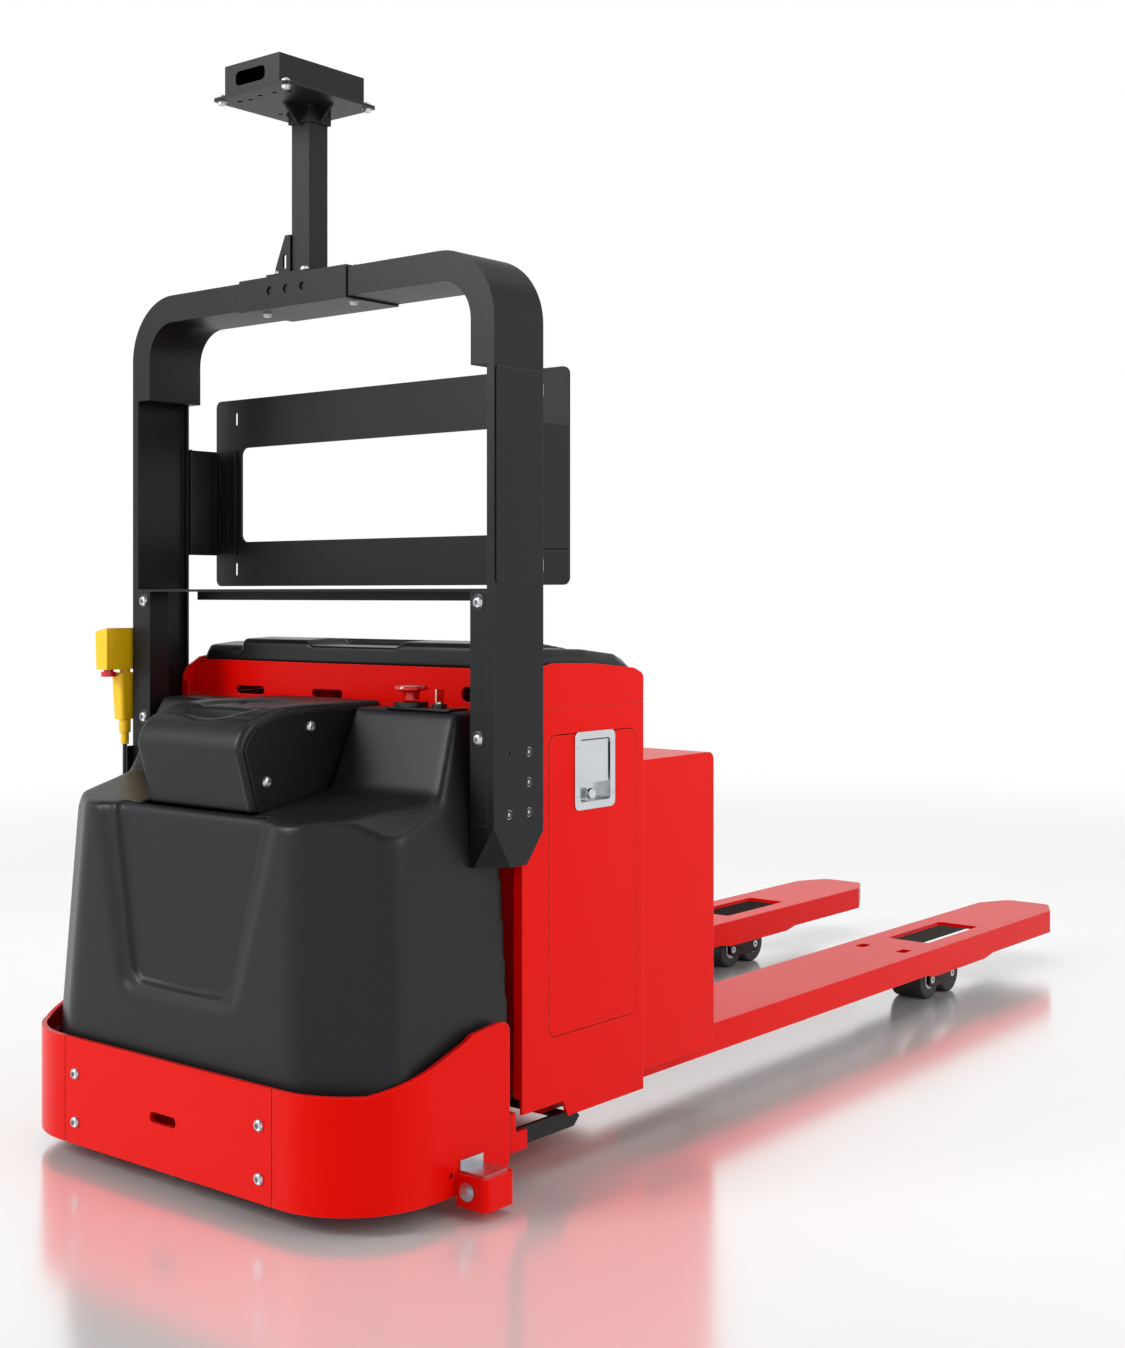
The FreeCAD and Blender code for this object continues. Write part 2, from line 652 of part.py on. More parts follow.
# ---------------------------------------------------------------- portal
def build_portal():
    half, sheet, top = s.portal_half, s.portal_sheet, s.portal_top
    front, back = s.portal_front, s.portal_back
    turn, bow, gap = s.bow_radius, s.bow_height, 0.15
    low, notch = s.leg_low, s.notch_level
    leg = half - s.leg_flange
    right = Piece("portal_right")
    outline = [(gap, top), (gap, top - bow), (half - turn, top - bow),
               (half - bow, top - turn, turn - bow, "left"), (half - bow, notch), (leg, notch),
               (leg, low), (half, low), (half, top - turn), (half - turn, top, turn, "right")]
    right.prism("XZ", [outline], front, back)
    inside = [(gap - 5, top - sheet), (gap - 5, top - bow + sheet),
              (half - turn, top - bow + sheet),
              (half - bow + sheet, top - turn, turn - bow + sheet, "left"),
              (half - bow + sheet, notch + sheet), (half - sheet, notch + sheet),
              (half - sheet, top - turn), (half - turn, top - sheet, turn - sheet, "right")]
    right.prism("XZ", [inside], front + sheet, back - sheet, cut=True)
    right.block((leg - 8, front + sheet, low - 5), (half - sheet, back - sheet, notch + 10),
                cut=True)
    cut_off = [(at(335), low - 5), (back + 5, low - 5), (back + 5, low + 46), (back, low + 46),
               (at(335), low)]
    right.prism("YZ", [cut_off], leg - 40, half + 5, cut=True)
    for y, z, r in ((340, 640, 7), (340, 596, 7), (340, 552, 7), (296, 552, 7), (296, 640, 4)):
        right.rod("X", (at(y), z), half - sheet - 2, half + 2, r, cut=True)
    # foot: a closed wedge in front of the frame's ear, its outer front corner cut away
    inner, slant = s.foot_inner, s.foot_cut
    back_face = s.bulkhead_face - 1
    right.prism("XY", [box_loop(inner, front, half, back_face)], low, s.foot_top)
    slip = sheet * (2 ** 0.5 - 1)
    hollow = [(inner + sheet, front + sheet), (half - slant - slip, front + sheet),
              (half - sheet, front + slant + slip), (half - sheet, back_face + 5),
              (inner + sheet, back_face + 5)]
    right.prism("XY", [hollow], low + sheet, s.foot_top - sheet, cut=True)
    tall = s.foot_top - low

    def corner(level):
        share = (s.foot_top - level) / tall
        return [(half - slant * share, front), (half + 1, front), (half + 1, front + slant * share)]
    right.loft("XY", [(low - 4, corner(low - 4)), (s.foot_top - 2, corner(s.foot_top - 2))],
               cut=True)
    mirrored(right, "portal_left")

    strip = Piece("strip_right")
    edge, floor = s.foot_top, s.shelf_level - sheet
    strip.block((inner, front, edge), (leg - s.seat_gap, front + 3, floor))
    strip.block((inner, front, edge), (inner + 3, front + 40, floor))
    pieces.pop("strip_right")
    pair(strip, "cover_strips")

    shelf = Piece("shelf_plate")
    clear = s.seat_gap
    wide = half - sheet - clear
    shelf.block((-(leg - clear), front, floor), (leg - clear, front + s.shelf_depth, s.shelf_level))
    shelf.block((-wide, front + sheet + clear, floor), (wide, front + s.shelf_depth, s.shelf_level))
    shelf.block((-330, front + s.shelf_depth - 3, floor - 14),
                (330, front + s.shelf_depth, s.shelf_level))

    sleeve = Piece("splice_sleeve")
    wide, skin, x0 = s.sleeve_half, s.sleeve_sheet, s.sleeve_x
    sleeve.block((x0 - wide, front - skin, top - bow - skin), (x0 + wide, back + skin, top + skin))
    sleeve.block((x0 - wide - 5, front, top - bow), (x0 + wide + 5, back, top), cut=True)
    for x in (x0 - 50, x0 - 12, x0 + 26):
        sleeve.rod("Y", (x, top - bow / 2 + 3), front - skin - 2, front + 2, 7, cut=True)


def build_back_frame():
    y, sheet = at(s.back_y), s.portal_sheet
    half, low, top = s.back_half, s.back_low, s.back_top
    plate = Piece("rear_frame")
    window = rounded(-s.window_half, s.window_low, s.window_half, s.window_top, 14)
    plate.prism("XZ", [rounded(-half, low, half, top, 12), window], y, y + sheet)
    for side in (-1, 1):
        for level in (low + 30, top - 34):
            a, b = side * (s.window_half + 14) - 4, side * (s.window_half + 14) + 4
            plate.prism("XZ", [rounded(a, level - 12, b, level + 12, 3.9)], y, y + sheet, cut=True)
    bracket = Piece("z_bracket_right")
    low, top = s.bracket_low, s.bracket_top
    back = s.portal_back
    outer = s.portal_half - 6
    bracket.block((outer - 3, back, low), (outer, y, top))
    bracket.block((outer - 14, back, low), (outer, back + 3, top))
    bracket.block((outer - 56, y - 3, low), (outer, y, top))
    for a in (outer - 44, outer - 22):
        bracket.prism("XZ", [rounded(a, low + 18, a + 7, low + 78, 3.4)], y - 3, y, cut=True)
        bracket.prism("XZ", [rounded(a, top - 78, a + 7, top - 18, 3.4)], y - 3, y, cut=True)
    pieces.pop("z_bracket_right")
    pair(bracket, "z_brackets")


# ---------------------------------------------------------------- mast and sensor head
def build_mast():
    x, y, half, sheet = s.mast_x, s.mast_place, s.mast_half, s.mast_sheet
    base = s.portal_top + s.sleeve_sheet
    foot = base + 5
    post = Piece("mast_post")
    post.block((x - half, y - half, foot), (x + half, y + half, s.mast_top))
    post.block((x - (half - sheet), y - half + sheet, foot - 5),
               (x + half - sheet, y + half - sheet, s.mast_top + 5), cut=True)
    bracket = Piece("mast_foot_bracket")
    bracket.block((x - half - 34, y - 44, base), (x + half + 20, y + 44, foot))
    bracket.block((x - half - 5, y - half - 4, foot), (x - half, y + half, foot + 64))
    web = [(x - half - 34, foot), (x - half, foot), (x - half, foot + 64),
           (x - half - 12, foot + 64), (x - half - 34, foot + 14)]
    hole = slot(x - half - 13, foot + 22, 4, 12)
    bracket.prism("XZ", [web, hole], y - half - 4, y - half)

    head = Piece("sensor_plate")
    middle, level = at(s.head_y), s.mast_top
    reach_x, reach_y = s.plate_half, s.plate_reach
    head.prism("XY", [rounded(x - reach_x, middle - reach_y, x + reach_x, middle + reach_y, 10)],
               level, level + 4)
    head.block((x - half - 4, y - half - 4, level - 26), (x + half + 4, y + half + 4, level))
    head.block((x - half, y - half, level - 30), (x + half, y + half, level), cut=True)
    for side in (-1, 1):
        gusset = [(x + side * (half + 4), level), (x + side * (half + 4), level - 26),
                  (x + side * (half + 34), level)]
        if side < 0:
            gusset.reverse()
        head.prism("XZ", [gusset], y - 2, y + 2)
    front_gusset = [(y - half - 4, level), (y - half - 36, level), (y - half - 4, level - 30)]
    head.prism("YZ", [front_gusset], x - 2, x + 2)
    for dx, dy in ((-50, -70), (-30, -66), (30, -70), (52, -60), (-56, 20), (56, 24), (0, -72)):
        head.rod("Z", (x + dx, middle + dy), level - 2, level + 6, 4, cut=True)
    box = Piece("sensor_box")
    sheet = s.head_sheet
    low, high = level + 4, level + 4 + s.head_height
    a, b = s.head_half, s.head_reach
    box.block((x - a, middle - b, low), (x + a, middle + b, high))
    box.block((x - a + sheet, middle - b + sheet, low - 5),
              (x + a - sheet, middle + b - sheet, high - sheet), cut=True)
    window = rounded(x - 38, low + 13, x + 30, low + 35, 8)
    box.prism("XZ", [window], middle - b - 2, middle - b + sheet + 2, cut=True)


# ---------------------------------------------------------------- lifting body
def build_battery_box():
    half, sheet = s.box_half, s.box_sheet
    start, end, wall = s.box_y, s.rear_y, s.wall_y
    low, skirt, split = s.box_low, s.box_skirt, s.box_split
    box = Piece("battery_box")
    step = start + 96
    side = [(start, low), (step, low), (step + 12, skirt), (end, skirt), (end, split),
            (start, split)]
    door = rounded(start + s.door_start, s.door_low, start + s.door_end, s.door_top,
                   s.door_radius)
    box.prism("YZ", [side, door], half - sheet, half)
    box.prism("YZ", [side], -half, -(half - sheet))
    inside = half - sheet
    box.block((-inside, wall, s.fork_top), (inside, wall + sheet, split))
    box.block((-inside, end - sheet, s.fork_top + s.base_sheet), (inside, end, split))
    for edge in (-1, 1):
        a, b = sorted((edge * (inside - 12), edge * inside), key=float)
        box.block((a, start, s.fork_top), (b, start + sheet, split))
        # shoes that run on the frame's rails
        for offset in (-16, 8.3):
            a = edge * s.rail_x + offset
            a = edge * s.rail_x - 16.3 if offset < 0 else edge * s.rail_x + 8.3
            box.block((a, s.bulkhead_back + 4, 400), (a + 8, wall, 480))
    box.block((-26, s.bulkhead_back + 6, s.bracket_level), (26, wall, s.bracket_level + 16))

    hood = Piece("battery_hood")
    top = s.hood_side_top
    low = split + s.seat_gap
    rim = [(start, low), (end, low), (end, top - 27), (end - 5, top - 21), (end - 25, top - 13),
           (end - 130, top - 3), (start + 75, top), (start + 38, top - 6), (start + 8, top - 24),
           (start, top - 38)]
    hood.prism("YZ", [rim], half - sheet, half)
    hood.prism("YZ", [rim], -half, -(half - sheet))
    holes = [slot(-250, top - 60, 36, 7), slot(-60, top - 60, 36, 7), slot(250, top - 50, 12, 12)]
    hood.prism("XZ", [box_loop(-inside, low, inside, top - 10)] + holes, wall, wall + sheet)
    hood.block((-inside, end - sheet, low), (inside, end, top - 30))
    for edge in (-1, 1):
        a, b = sorted((edge * (inside - 12), edge * inside), key=float)
        hood.block((a, start, low), (b, start + sheet, top - 44))

    lid = Piece("battery_lid")
    wide, seat = half - 18, top - 10
    lip = [(wall - 2, seat), (wall - 2, seat + 14), (wall + 6, s.lid_top - 2),
           (wall + 60, s.lid_top + 3), (end - 120, s.lid_top), (end - 40, s.lid_top - 9),
           (end - 8, seat + 6), (end - 8, seat - 18), (end - 20, seat - 18), (end - 20, seat - 8),
           (wall + 12, seat + 2), (wall + 12, seat)]
    lid.prism("YZ", [lip], -wide, wide)
    spine = [(wall - 2, seat + 8), (wall - 2, s.lid_top + 2), (wall + 4, s.lid_spine - 2),
             (wall + 60, s.lid_spine), (end - 120, s.lid_spine - 3), (end - 44, s.lid_spine - 14),
             (end - 16, seat + 8)]
    field, channel = s.lid_field, s.lid_channel
    lid.prism("YZ", [spine], -field, field)
    dip = s.lid_top + 1
    lid.prism("XZ", [[(-channel, dip), (channel, dip), (channel + 24, s.lid_spine + 4),
                      (-channel - 24, s.lid_spine + 4)]], wall - 5, wall + 92, cut=True)
    lid.soften(12, lambda e: along_slope(e, wide, seat + 6), chamfer=True)

    pack = Piece("battery_pack")
    floor = s.fork_top + s.base_sheet
    pack.block((-(half - 46), wall + sheet + 8, floor), (half - 46, end - sheet - 6, split - 22))
    pack.soften(8, along("Z"))

    rear = Piece("rear_box")
    end = s.fork_y
    floor, crown, skin = s.rear_low, s.rear_top, 4
    start = s.rear_y
    profile = [(start, floor), (end, floor), (end, crown - 14), (end - 14, crown, 14, "right"),
               (start, crown)]
    rear.prism("YZ", [profile], -half, half)
    core = [(start + skin, floor - 5), (end - skin, floor - 5), (end - skin, crown - 14),
            (end - 14, crown - skin, 14 - skin, "right"), (start + skin, crown - skin)]
    rear.prism("YZ", [core], -(half - skin), half - skin, cut=True)
    clear = s.seat_gap
    for edge in (-1, 1):
        a, b = sorted((edge * (s.fork_inner - clear), edge * (s.fork_outer + clear)), key=float)
        rear.block((a, start - 5, floor - 5), (b, end + 5, s.fork_top + clear), cut=True)
    rear.block((-(half - skin), start - 5, floor - 5), (half - skin, start + skin,
                                                        s.fork_top + s.base_sheet), cut=True)


def along_slope(edge, wide, above):
    """Picks the lid's long top edges."""
    if len(edge.Vertexes) != 2:
        return False
    flat = all(abs(abs(v.Point.x) - float(wide)) < 0.01 for v in edge.Vertexes)
    return flat and all(v.Point.z > float(above) for v in edge.Vertexes)


def build_door():
    gap, sheet = s.door_gap, s.door_sheet
    outer = s.box_half
    start = s.box_y + s.door_start + gap
    end = s.box_y + s.door_end - gap
    low, top = s.door_low + gap, s.door_top - gap
    y, level = s.box_y + s.latch_y, s.latch_level
    half, reach = s.latch_half, s.latch_reach
    door = Piece("side_door")
    opening = rounded(y - half + 9, level - reach + 9, y + half - 9, level + reach - 9, 8)
    door.prism("YZ", [rounded(start, low, end, top, s.door_radius - gap), opening],
               outer - sheet, outer)
    plate = Piece("latch_plate")
    clear = s.seat_gap
    plate.prism("YZ", [rounded(y - half, level - reach, y + half, level + reach, 10)],
                outer, outer + 2.5)
    plate.prism("YZ", [rounded(y - half + 9 + clear, level - reach + 9 + clear,
                               y + half - 9 - clear, level + reach - 9 - clear, 7)],
                outer - 16, outer)
    plate.prism("YZ", [rounded(y - half + 12, level - reach + 12, y + half - 12,
                               level + reach - 12, 5)], outer - 14, outer + 5, cut=True)
    paddle = Piece("latch_paddle")
    wide = half - 15
    blade = [(outer - 3, level - 20), (outer, level - 20), (outer, level + reach - 14),
             (outer - 6, level + reach - 14), (outer - 6, level + reach - 22),
             (outer - 3, level + reach - 26)]
    paddle.prism("XZ", [blade], y - wide, y + wide)
    # pivot pins that run to the sides of the recess
    pin = half - 12 - s.latch_clear
    paddle.rod("Y", (outer - 3, level + s.pivot_rise), y - pin, y + pin, 2)


def build_fork_frame():
    half, sheet = s.box_half - s.box_sheet, s.base_sheet
    low, top = s.fork_top, s.fork_top + s.base_sheet
    start, end = s.wall_y + s.box_sheet, s.fork_y - 4
    gap = s.seat_gap
    frame = Piece("fork_frame")
    frame.block((-(half - gap), start, low), (half - gap, end - gap, top))
    inner = s.fork_inner
    frame.block((-inner, end - 50, s.fork_low), (inner, end - 40, low))
    frame.block((-inner, at(s.fork_start), s.fork_low), (inner, at(s.fork_start) + 10, low))
    y, z, tube = s.rocker_place, s.rocker_level, s.rocker_tube
    for side in (-1, 1):
        a, b = sorted((side * (inner - 14), side * inner), key=float)
        frame.block((a, y - 18, z - 20), (b, y + 18, low))
    frame.rod("X", (y, z), -inner - 1, inner + 1, tube + s.pin_gap, cut=True)


def build_fork():
    outer, inner, sheet = s.fork_outer, s.fork_inner, s.fork_sheet
    low, top = s.fork_low, s.fork_top
    start, tip = at(s.fork_start), s.tip_y
    taper, chamfer = s.tip_taper, s.tip_chamfer
    fork = Piece("fork_right")
    plan = [(inner, start), (outer, start), (outer, tip - taper), (outer - chamfer, tip - 8),
            (outer - chamfer - 12, tip), (inner + chamfer + 12, tip), (inner + chamfer, tip - 8),
            (inner, tip - taper)]
    fork.prism("XY", [plan], low, top)
    fork.block((inner - 1, start - 1, top - 0.2), (outer + 1, s.fork_y + 1, top + 5), cut=True)
    y = s.wheel_y
    belly = [(y - 160, low + 8), (y - 160, low), (y - 128, low - s.fork_belly),
             (y + 112, low - s.fork_belly), (y + 150, low), (y + 150, low + 8)]
    fork.prism("YZ", [belly], inner, outer)
    end = tip - taper - 6
    fork.block((inner + sheet, start - 5, low - s.fork_belly - 5), (outer - sheet, end,
                                                                   top - sheet), cut=True)
    x, wide = s.fork_x, s.window_x
    fork.prism("XY", [rounded(x - wide, y - 76, x + wide, y + 166, 8)], top - sheet - 2, top + 2,
               cut=True)
    for side in (-1, 1):
        spot = x + side * 48
        fork.prism("XY", [rounded(spot - 11, s.arm_y - 17, spot + 11, s.arm_y + 17, 3)],
                   top - sheet - 2, top + 2, cut=True)
    nose_cut = [(tip - 40, low - 1), (tip + 5, low - 1), (tip + 5, low + 26), (tip, low + 20)]
    fork.prism("YZ", [nose_cut], inner, outer, cut=True)
    fork.rod("X", (s.arm_y, s.arm_level), inner + sheet - 1, outer - sheet + 1, s.pivot_radius)
    for place in (at(960), at(1360)):
        fork.block((x - 16, place, s.rod_level - 9), (x + 16, place + 14, top - sheet))
        fork.rod("Y", (x, s.rod_level), place - 2, place + 16, s.pull_rod + s.pin_gap, cut=True)
    mirrored(fork, "fork_left")


# ---------------------------------------------------------------- lifting linkage
def build_rocker():
    y, z = s.rocker_place, s.rocker_level
    half, tube, arm = s.rocker_half, s.rocker_tube, s.rocker_arm
    rocker = Piece("rocker")
    rocker.rod("X", (y, z), -half, half, tube)
    for side in (-1, 1):
        a, b = sorted((side * (half - 8), side * half), key=float)
        pin = y - arm
        eye = slot(pin - 10, z, 20, 8.5)
        bar = [(pin - 26, z - 13), (y, z - 13), (y + 14, z), (y, z + 13), (pin - 26, z + 13),
               (pin - 36, z)]
        rocker.prism("YZ", [bar, eye], a, b)
        x = side * s.fork_x
        for step in (-9, 9):
            rocker.prism("YZ", [[(y - 8, z), (y + 8, z), (y + 6, z + s.rocker_lever + 4),
                                 (y - 6, z + s.rocker_lever + 4)]], x + step - 3, x + step + 3)
        rocker.rod("X", (y, s.rod_level), x - 12, x + 12, 3.5)


def build_pull_rods():
    x, z, radius = s.fork_x, s.rod_level, s.pull_rod
    start, end = s.rocker_place, s.arm_y
    rod = Piece("pull_rod_right")
    rod.rod("Y", (x, z), start + 8, end - 14, radius)
    for place in (start, end):
        rod.prism("YZ", [slot(place, z, 8.3, 8.6)], x - 5, x + 5)
        rod.prism("YZ", [slot(place, z, 4.3, 6)], x - 6, x + 6, cut=True)
    rod.block((x - 5, start + 6, z - 5), (x + 5, start + 20, z + 5))
    rod.block((x - 5, end - 20, z - 5), (x + 5, end - 6, z + 5))
    pieces.pop("pull_rod_right")
    pair(rod, "pull_rods")


def build_load_arm():
    x, y, z = s.fork_x, s.arm_y, s.arm_level
    end_y, end_z = s.wheel_y, s.pivot_level
    half, sheet = s.arm_half, s.arm_sheet
    plate = s.roller_half + 1.5
    inner = plate + s.bogie_sheet + 0.6
    arm = Piece("load_arm_right")
    lean = s.arm_drop / s.arm_length
    run = s.arm_reach / s.arm_length
    bar = [(y - lean * half, z - run * half), (end_y - lean * half, end_z - run * half),
           (end_y + run * half, end_z - lean * half),
           (end_y + lean * half, end_z + run * half), (y + lean * half, z + run * half),
           (y - run * half, z + lean * half)]
    for side in (-1, 1):
        a, b = sorted((side * inner, side * (inner + sheet)), key=float)
        arm.prism("YZ", [bar], x + a, x + b)
    arm.rod("X", (y, z), x - inner - 1, x + inner + 1, s.pivot_radius + 2)
    drop = s.arm_lever
    for step in (-9, 9):
        arm.prism("YZ", [[(y - 6, z - drop - 5), (y + 6, z - drop - 5), (y + 9, z - 4),
                          (y - 9, z - 4)]], x + step - 3, x + step + 3)
    arm.rod("X", (y, z), x - inner - sheet - 2, x + inner + sheet + 2,
            s.pivot_radius + s.pin_gap, cut=True)
    arm.rod("X", (y, z - drop), x - 12, x + 12, 3.5)
    for side in (-1, 1):
        a, b = sorted((side * plate, side * (inner + 1)), key=float)
        arm.rod("X", (end_y, end_z), x + a, x + b, s.pivot_radius)
    mirrored(arm, "load_arm_left")


def build_bogie():
    x, y = s.fork_x, s.wheel_y
    axle, pivot = s.roller_radius, s.pivot_level
    plate, sheet = s.roller_half + 1.5, s.bogie_sheet
    pitch = s.roller_pitch / 2
    bogie = Piece("bogie_right")
    cheek = [(y - pitch - 15, axle - 9), (y - pitch, axle - 17), (y + pitch, axle - 17),
             (y + pitch + 15, axle - 9), (y + pitch + 14, axle + 12), (y + 20, pivot + 28),
             (y - 20, pivot + 28), (y - pitch - 14, axle + 12)]
    for side in (-1, 1):
        a, b = sorted((side * plate, side * (plate + sheet)), key=float)
        bogie.prism("YZ", [cheek, ("circle", y, pivot, s.pivot_radius + s.pin_gap)],
                    x + a, x + b)
    for way in (-1, 1):
        bogie.rod("X", (y + way * pitch, axle), x - plate - 1, x + plate + 1, s.roller_axle)
    mirrored(bogie, "bogie_left")
    for way, name in ((-1, "front"), (1, "rear")):
        spot = (y + way * pitch, axle)
        roller = Piece("load_roller_%s_right" % name)
        roller.rod("X", spot, x - s.roller_half, x + s.roller_half, s.roller_radius)
        roller.soften(4, lambda e: round_side(e, s.roller_radius))
        roller.rod("X", spot, x - s.roller_half - 1, x + s.roller_half + 1,
                   s.roller_axle + s.pin_gap, cut=True)
        for side in (-1, 1):
            face = side * s.roller_half
            a, b = sorted((face, face - side * 5), key=float)
            roller.rod("X", spot, x + a, x + b, s.roller_hub, cut=True)
        mirrored(roller, "load_roller_%s_left" % name)


def round_side(edge, radius):
    """Picks full circles of a radius."""
    curve = edge.Curve
    return hasattr(curve, "Radius") and abs(curve.Radius - float(radius)) < 0.01


def build_lift_cylinder():
    y = s.bulkhead_back + 21
    floor, top = 110, 500
    barrel = Piece("lift_cylinder")
    barrel.rod("Z", (0, y), floor, top, s.lift_barrel)
    barrel.rod("Z", (0, y), 300, top + 2, s.lift_rod + s.pin_gap, cut=True)
    rod = Piece("lift_rod")
    rod.rod("Z", (0, y), 380, s.bracket_level, s.lift_rod)


# ---------------------------------------------------------------- drive unit and castors
def build_drive():
    y, axle = s.drive_y, s.tyre_radius
    clear = s.seat_gap
    deck, sheet = s.deck_top, s.frame_sheet
    cheek, half = s.cheek_sheet, s.tyre_half
    gear = Piece("drive_unit")
    gear.rod("Z", (0, y), deck - sheet - 24, deck + clear, s.turret_radius - clear)
    gear.rod("Z", (0, y), deck + clear, deck + 14, s.flange_radius)
    gear.rod("Z", (0, y), deck + 14, deck + 34, s.motor_radius)
    inner = half + 4
    side = [(y - 52, axle), (y - 52, deck - sheet - 20), (y + 52, deck - sheet - 20),
            (y + 52, axle), (y + 30, axle - 48), (y - 30, axle - 48)]
    gear.prism("YZ", [side], inner, inner + cheek)
    gear.rod("X", (y, axle), -half - 3, inner + 1, s.axle_radius)
    gear.rod("Z", (0, y), deck + 34, deck + 34 + s.motor_height, s.motor_radius - 4)
    gear.rod("Z", (0, y), deck + 34 + s.motor_height, deck + 46 + s.motor_height, 40)
    tyre = Piece("drive_tyre")
    tyre.rod("X", (y, axle), -half, half, s.tyre_radius)
    tyre.soften(6, lambda e: round_side(e, s.tyre_radius))
    tyre.rod("X", (y, axle), -half - 1, half + 1, s.hub_radius, cut=True)
    hub = Piece("drive_hub")
    hub.rod("X", (y, axle), -half + 4, half - 4, s.hub_radius)
    hub.rod("X", (y, axle), -half - 1, half + 1, s.axle_radius + s.pin_gap, cut=True)


def build_castor():
    x, y, z = s.castor_x, at(s.castor_y), s.castor_radius
    trail, half, sheet = s.castor_trail, s.castor_half, s.castor_sheet
    top = s.shelf_low - s.seat_gap
    inner = half + 2
    axle_y = y + trail
    crown = z + s.castor_radius + 14
    fork = Piece("castor_fork_right")
    fork.rod("Z", (x, y), crown, top, 26)
    fork.block((x - inner - sheet, y - 26, crown - 4), (x + inner + sheet, y + 40, crown + 4))
    side = [(y - 22, crown), (y + 40, crown), (axle_y + 12, z), (axle_y, z - 12),
            (axle_y - 12, z)]
    for way in (-1, 1):
        a, b = sorted((way * inner, way * (inner + sheet)), key=float)
        fork.prism("YZ", [side], x + a, x + b)
    fork.rod("X", (axle_y, z), x - inner - 1, x + inner + 1, s.castor_axle)
    mirrored(fork, "castor_fork_left")
    wheel = Piece("castor_wheel_right")
    wheel.rod("X", (axle_y, z), x - half, x + half, s.castor_radius)
    wheel.soften(5, lambda e: round_side(e, s.castor_radius))
    wheel.rod("X", (axle_y, z), x - half - 1, x + half + 1, s.castor_axle + s.pin_gap, cut=True)
    mirrored(wheel, "castor_wheel_left")


# ---------------------------------------------------------------- side blocks
def build_side_blocks():
    x, y, low = s.body_half, at(s.block_y), s.block_low
    reach, top = s.side_reach, s.block_low + s.block_height
    block = Piece("side_block_right")
    block.block((x, y, low), (x + reach, y + s.block_length, top))
    block.soften(9, lambda e: along("Z")(e) and near(e, x=x + reach))
    pieces.pop("side_block_right")
    pair(block, "side_blocks")
    bracket = Piece("block_bracket_right")
    bracket.block((x, y + 6, top), (x + reach - 8, y + s.block_length - 8, top + 3))
    bracket.block((x, y + 6, top), (x + 3, y + s.block_length - 8, top + 16))
    bracket.rod("Y", (x + 22, low + 24), y - 3, y, 13)
    bracket.rod("Y", (x + 22, low + 24), y - 9, y - 3, 8)
    pieces.pop("block_bracket_right")
    pair(bracket, "side_block_brackets")


# ---------------------------------------------------------------- pendant
def build_pendant():
    x, y = -s.pendant_x, at(s.pendant_y)
    wall = -s.portal_half
    holder = Piece("pendant_holder")
    holder.block((wall - 3, y + 6, 600), (wall, y + 50, 760))
    holder.block((wall - 8, y + 14, 664), (wall, y + 42, 724))
    grip = Piece("pendant_grip")
    grip.loft("XY", [(655, rounded(x - 13, y - 15, x + 13, y + 15, 7)),
                     (690, rounded(x - 14, y - 17, x + 14, y + 17, 7)),
                     (735, rounded(x - 14, y - 20, x + 14, y + 20, 7))])
    head = Piece("pendant_head")
    tilt = [(x - 15, 741), (x + 14, 741), (x + 14, 812), (x - 18, 806)]
    head.prism("XZ", [tilt], y - 48, y + 30)
    head.rod("Z", (x, y - 34), 740, 746, 9, cut=True)
    grip.rod("Z", (x, y), 735, 741, 9)
    button = Piece("pendant_button")
    button.rod("Z", (x, y - 34), 729, 737.5, 13)
    button.rod("Z", (x, y - 34), 737.5, 742.5, 8.5)
    grip.rod("Z", (x, y), 632, 655, 10)
    grip.rod("Z", (x, y), 612, 632, 7)
    cable = Piece("pendant_cable")
    cable.rod("Z", (x, y), 552, 612, 4)
    holder.block((x - 9, y - 12, 524), (wall, y + 12, 552))
    holder.block((wall - 3, y - 12, 524), (wall, y + 24, 610))


# ---------------------------------------------------------------- fasteners
def heads(spots, radius, height, name):
    """Screw heads as separate solids; a spot is (axis, way, x, y, z) on the face it sits on."""
    parts = []
    for number, (axis, way, x, y, z) in enumerate(spots):
        head = Piece("%s_%d" % (name, number), keep=False)
        centre = {"X": (y, z), "Y": (x, z), "Z": (x, y)}[axis]
        face = {"X": x, "Y": y, "Z": z}[axis]
        low, high = (face, face + height) if way > 0 else (face - height, face)
        head.rod(axis, centre, low, high, radius)
        parts.append(head)
    return parts


def build_fasteners():
    spots = []
    for x in (-s.bumper_screw_x, s.bumper_screw_x):
        for z in (s.bumper_screw_low, s.bumper_screw_high):
            spots.append(("Y", -1, x, s.front, z))
    side = s.hood_half + s.hood_sheet
    strip_x = (s.foot_inner + s.portal_half - s.leg_flange) / 2
    for way in (-1, 1):
        spots.append(("X", way, way * side, at(92), 596))
        spots.append(("X", way, way * side, at(178), 672))
        for z in (661, 858):
            spots.append(("Y", -1, way * strip_x, s.portal_front, z))
    group(heads(spots, s.button_radius, s.button_height, "screw"), "button_screws")
    spots = []
    top = s.portal_top + s.sleeve_sheet
    floor = s.portal_top - s.bow_height - s.sleeve_sheet
    for x in (s.sleeve_x - 92, s.sleeve_x + 107):
        spots.append(("Z", 1, x, s.portal_front + 30, top))
        spots.append(("Z", -1, x, s.portal_front + 30, floor))
    for x in (s.mast_x - 40, s.mast_x + 28):
        spots.append(("Z", 1, x, s.mast_place - 36, top + 5))
    reach_x, reach_y = s.plate_half - 12, s.plate_reach - 12
    for x in (-reach_x, reach_x):
        for y in (-reach_y, reach_y):
            spots.append(("Z", -1, s.mast_x + x, at(s.head_y) + y, s.mast_top))
    group(heads(spots, 6.5, 6, "bolt"), "hex_bolts")


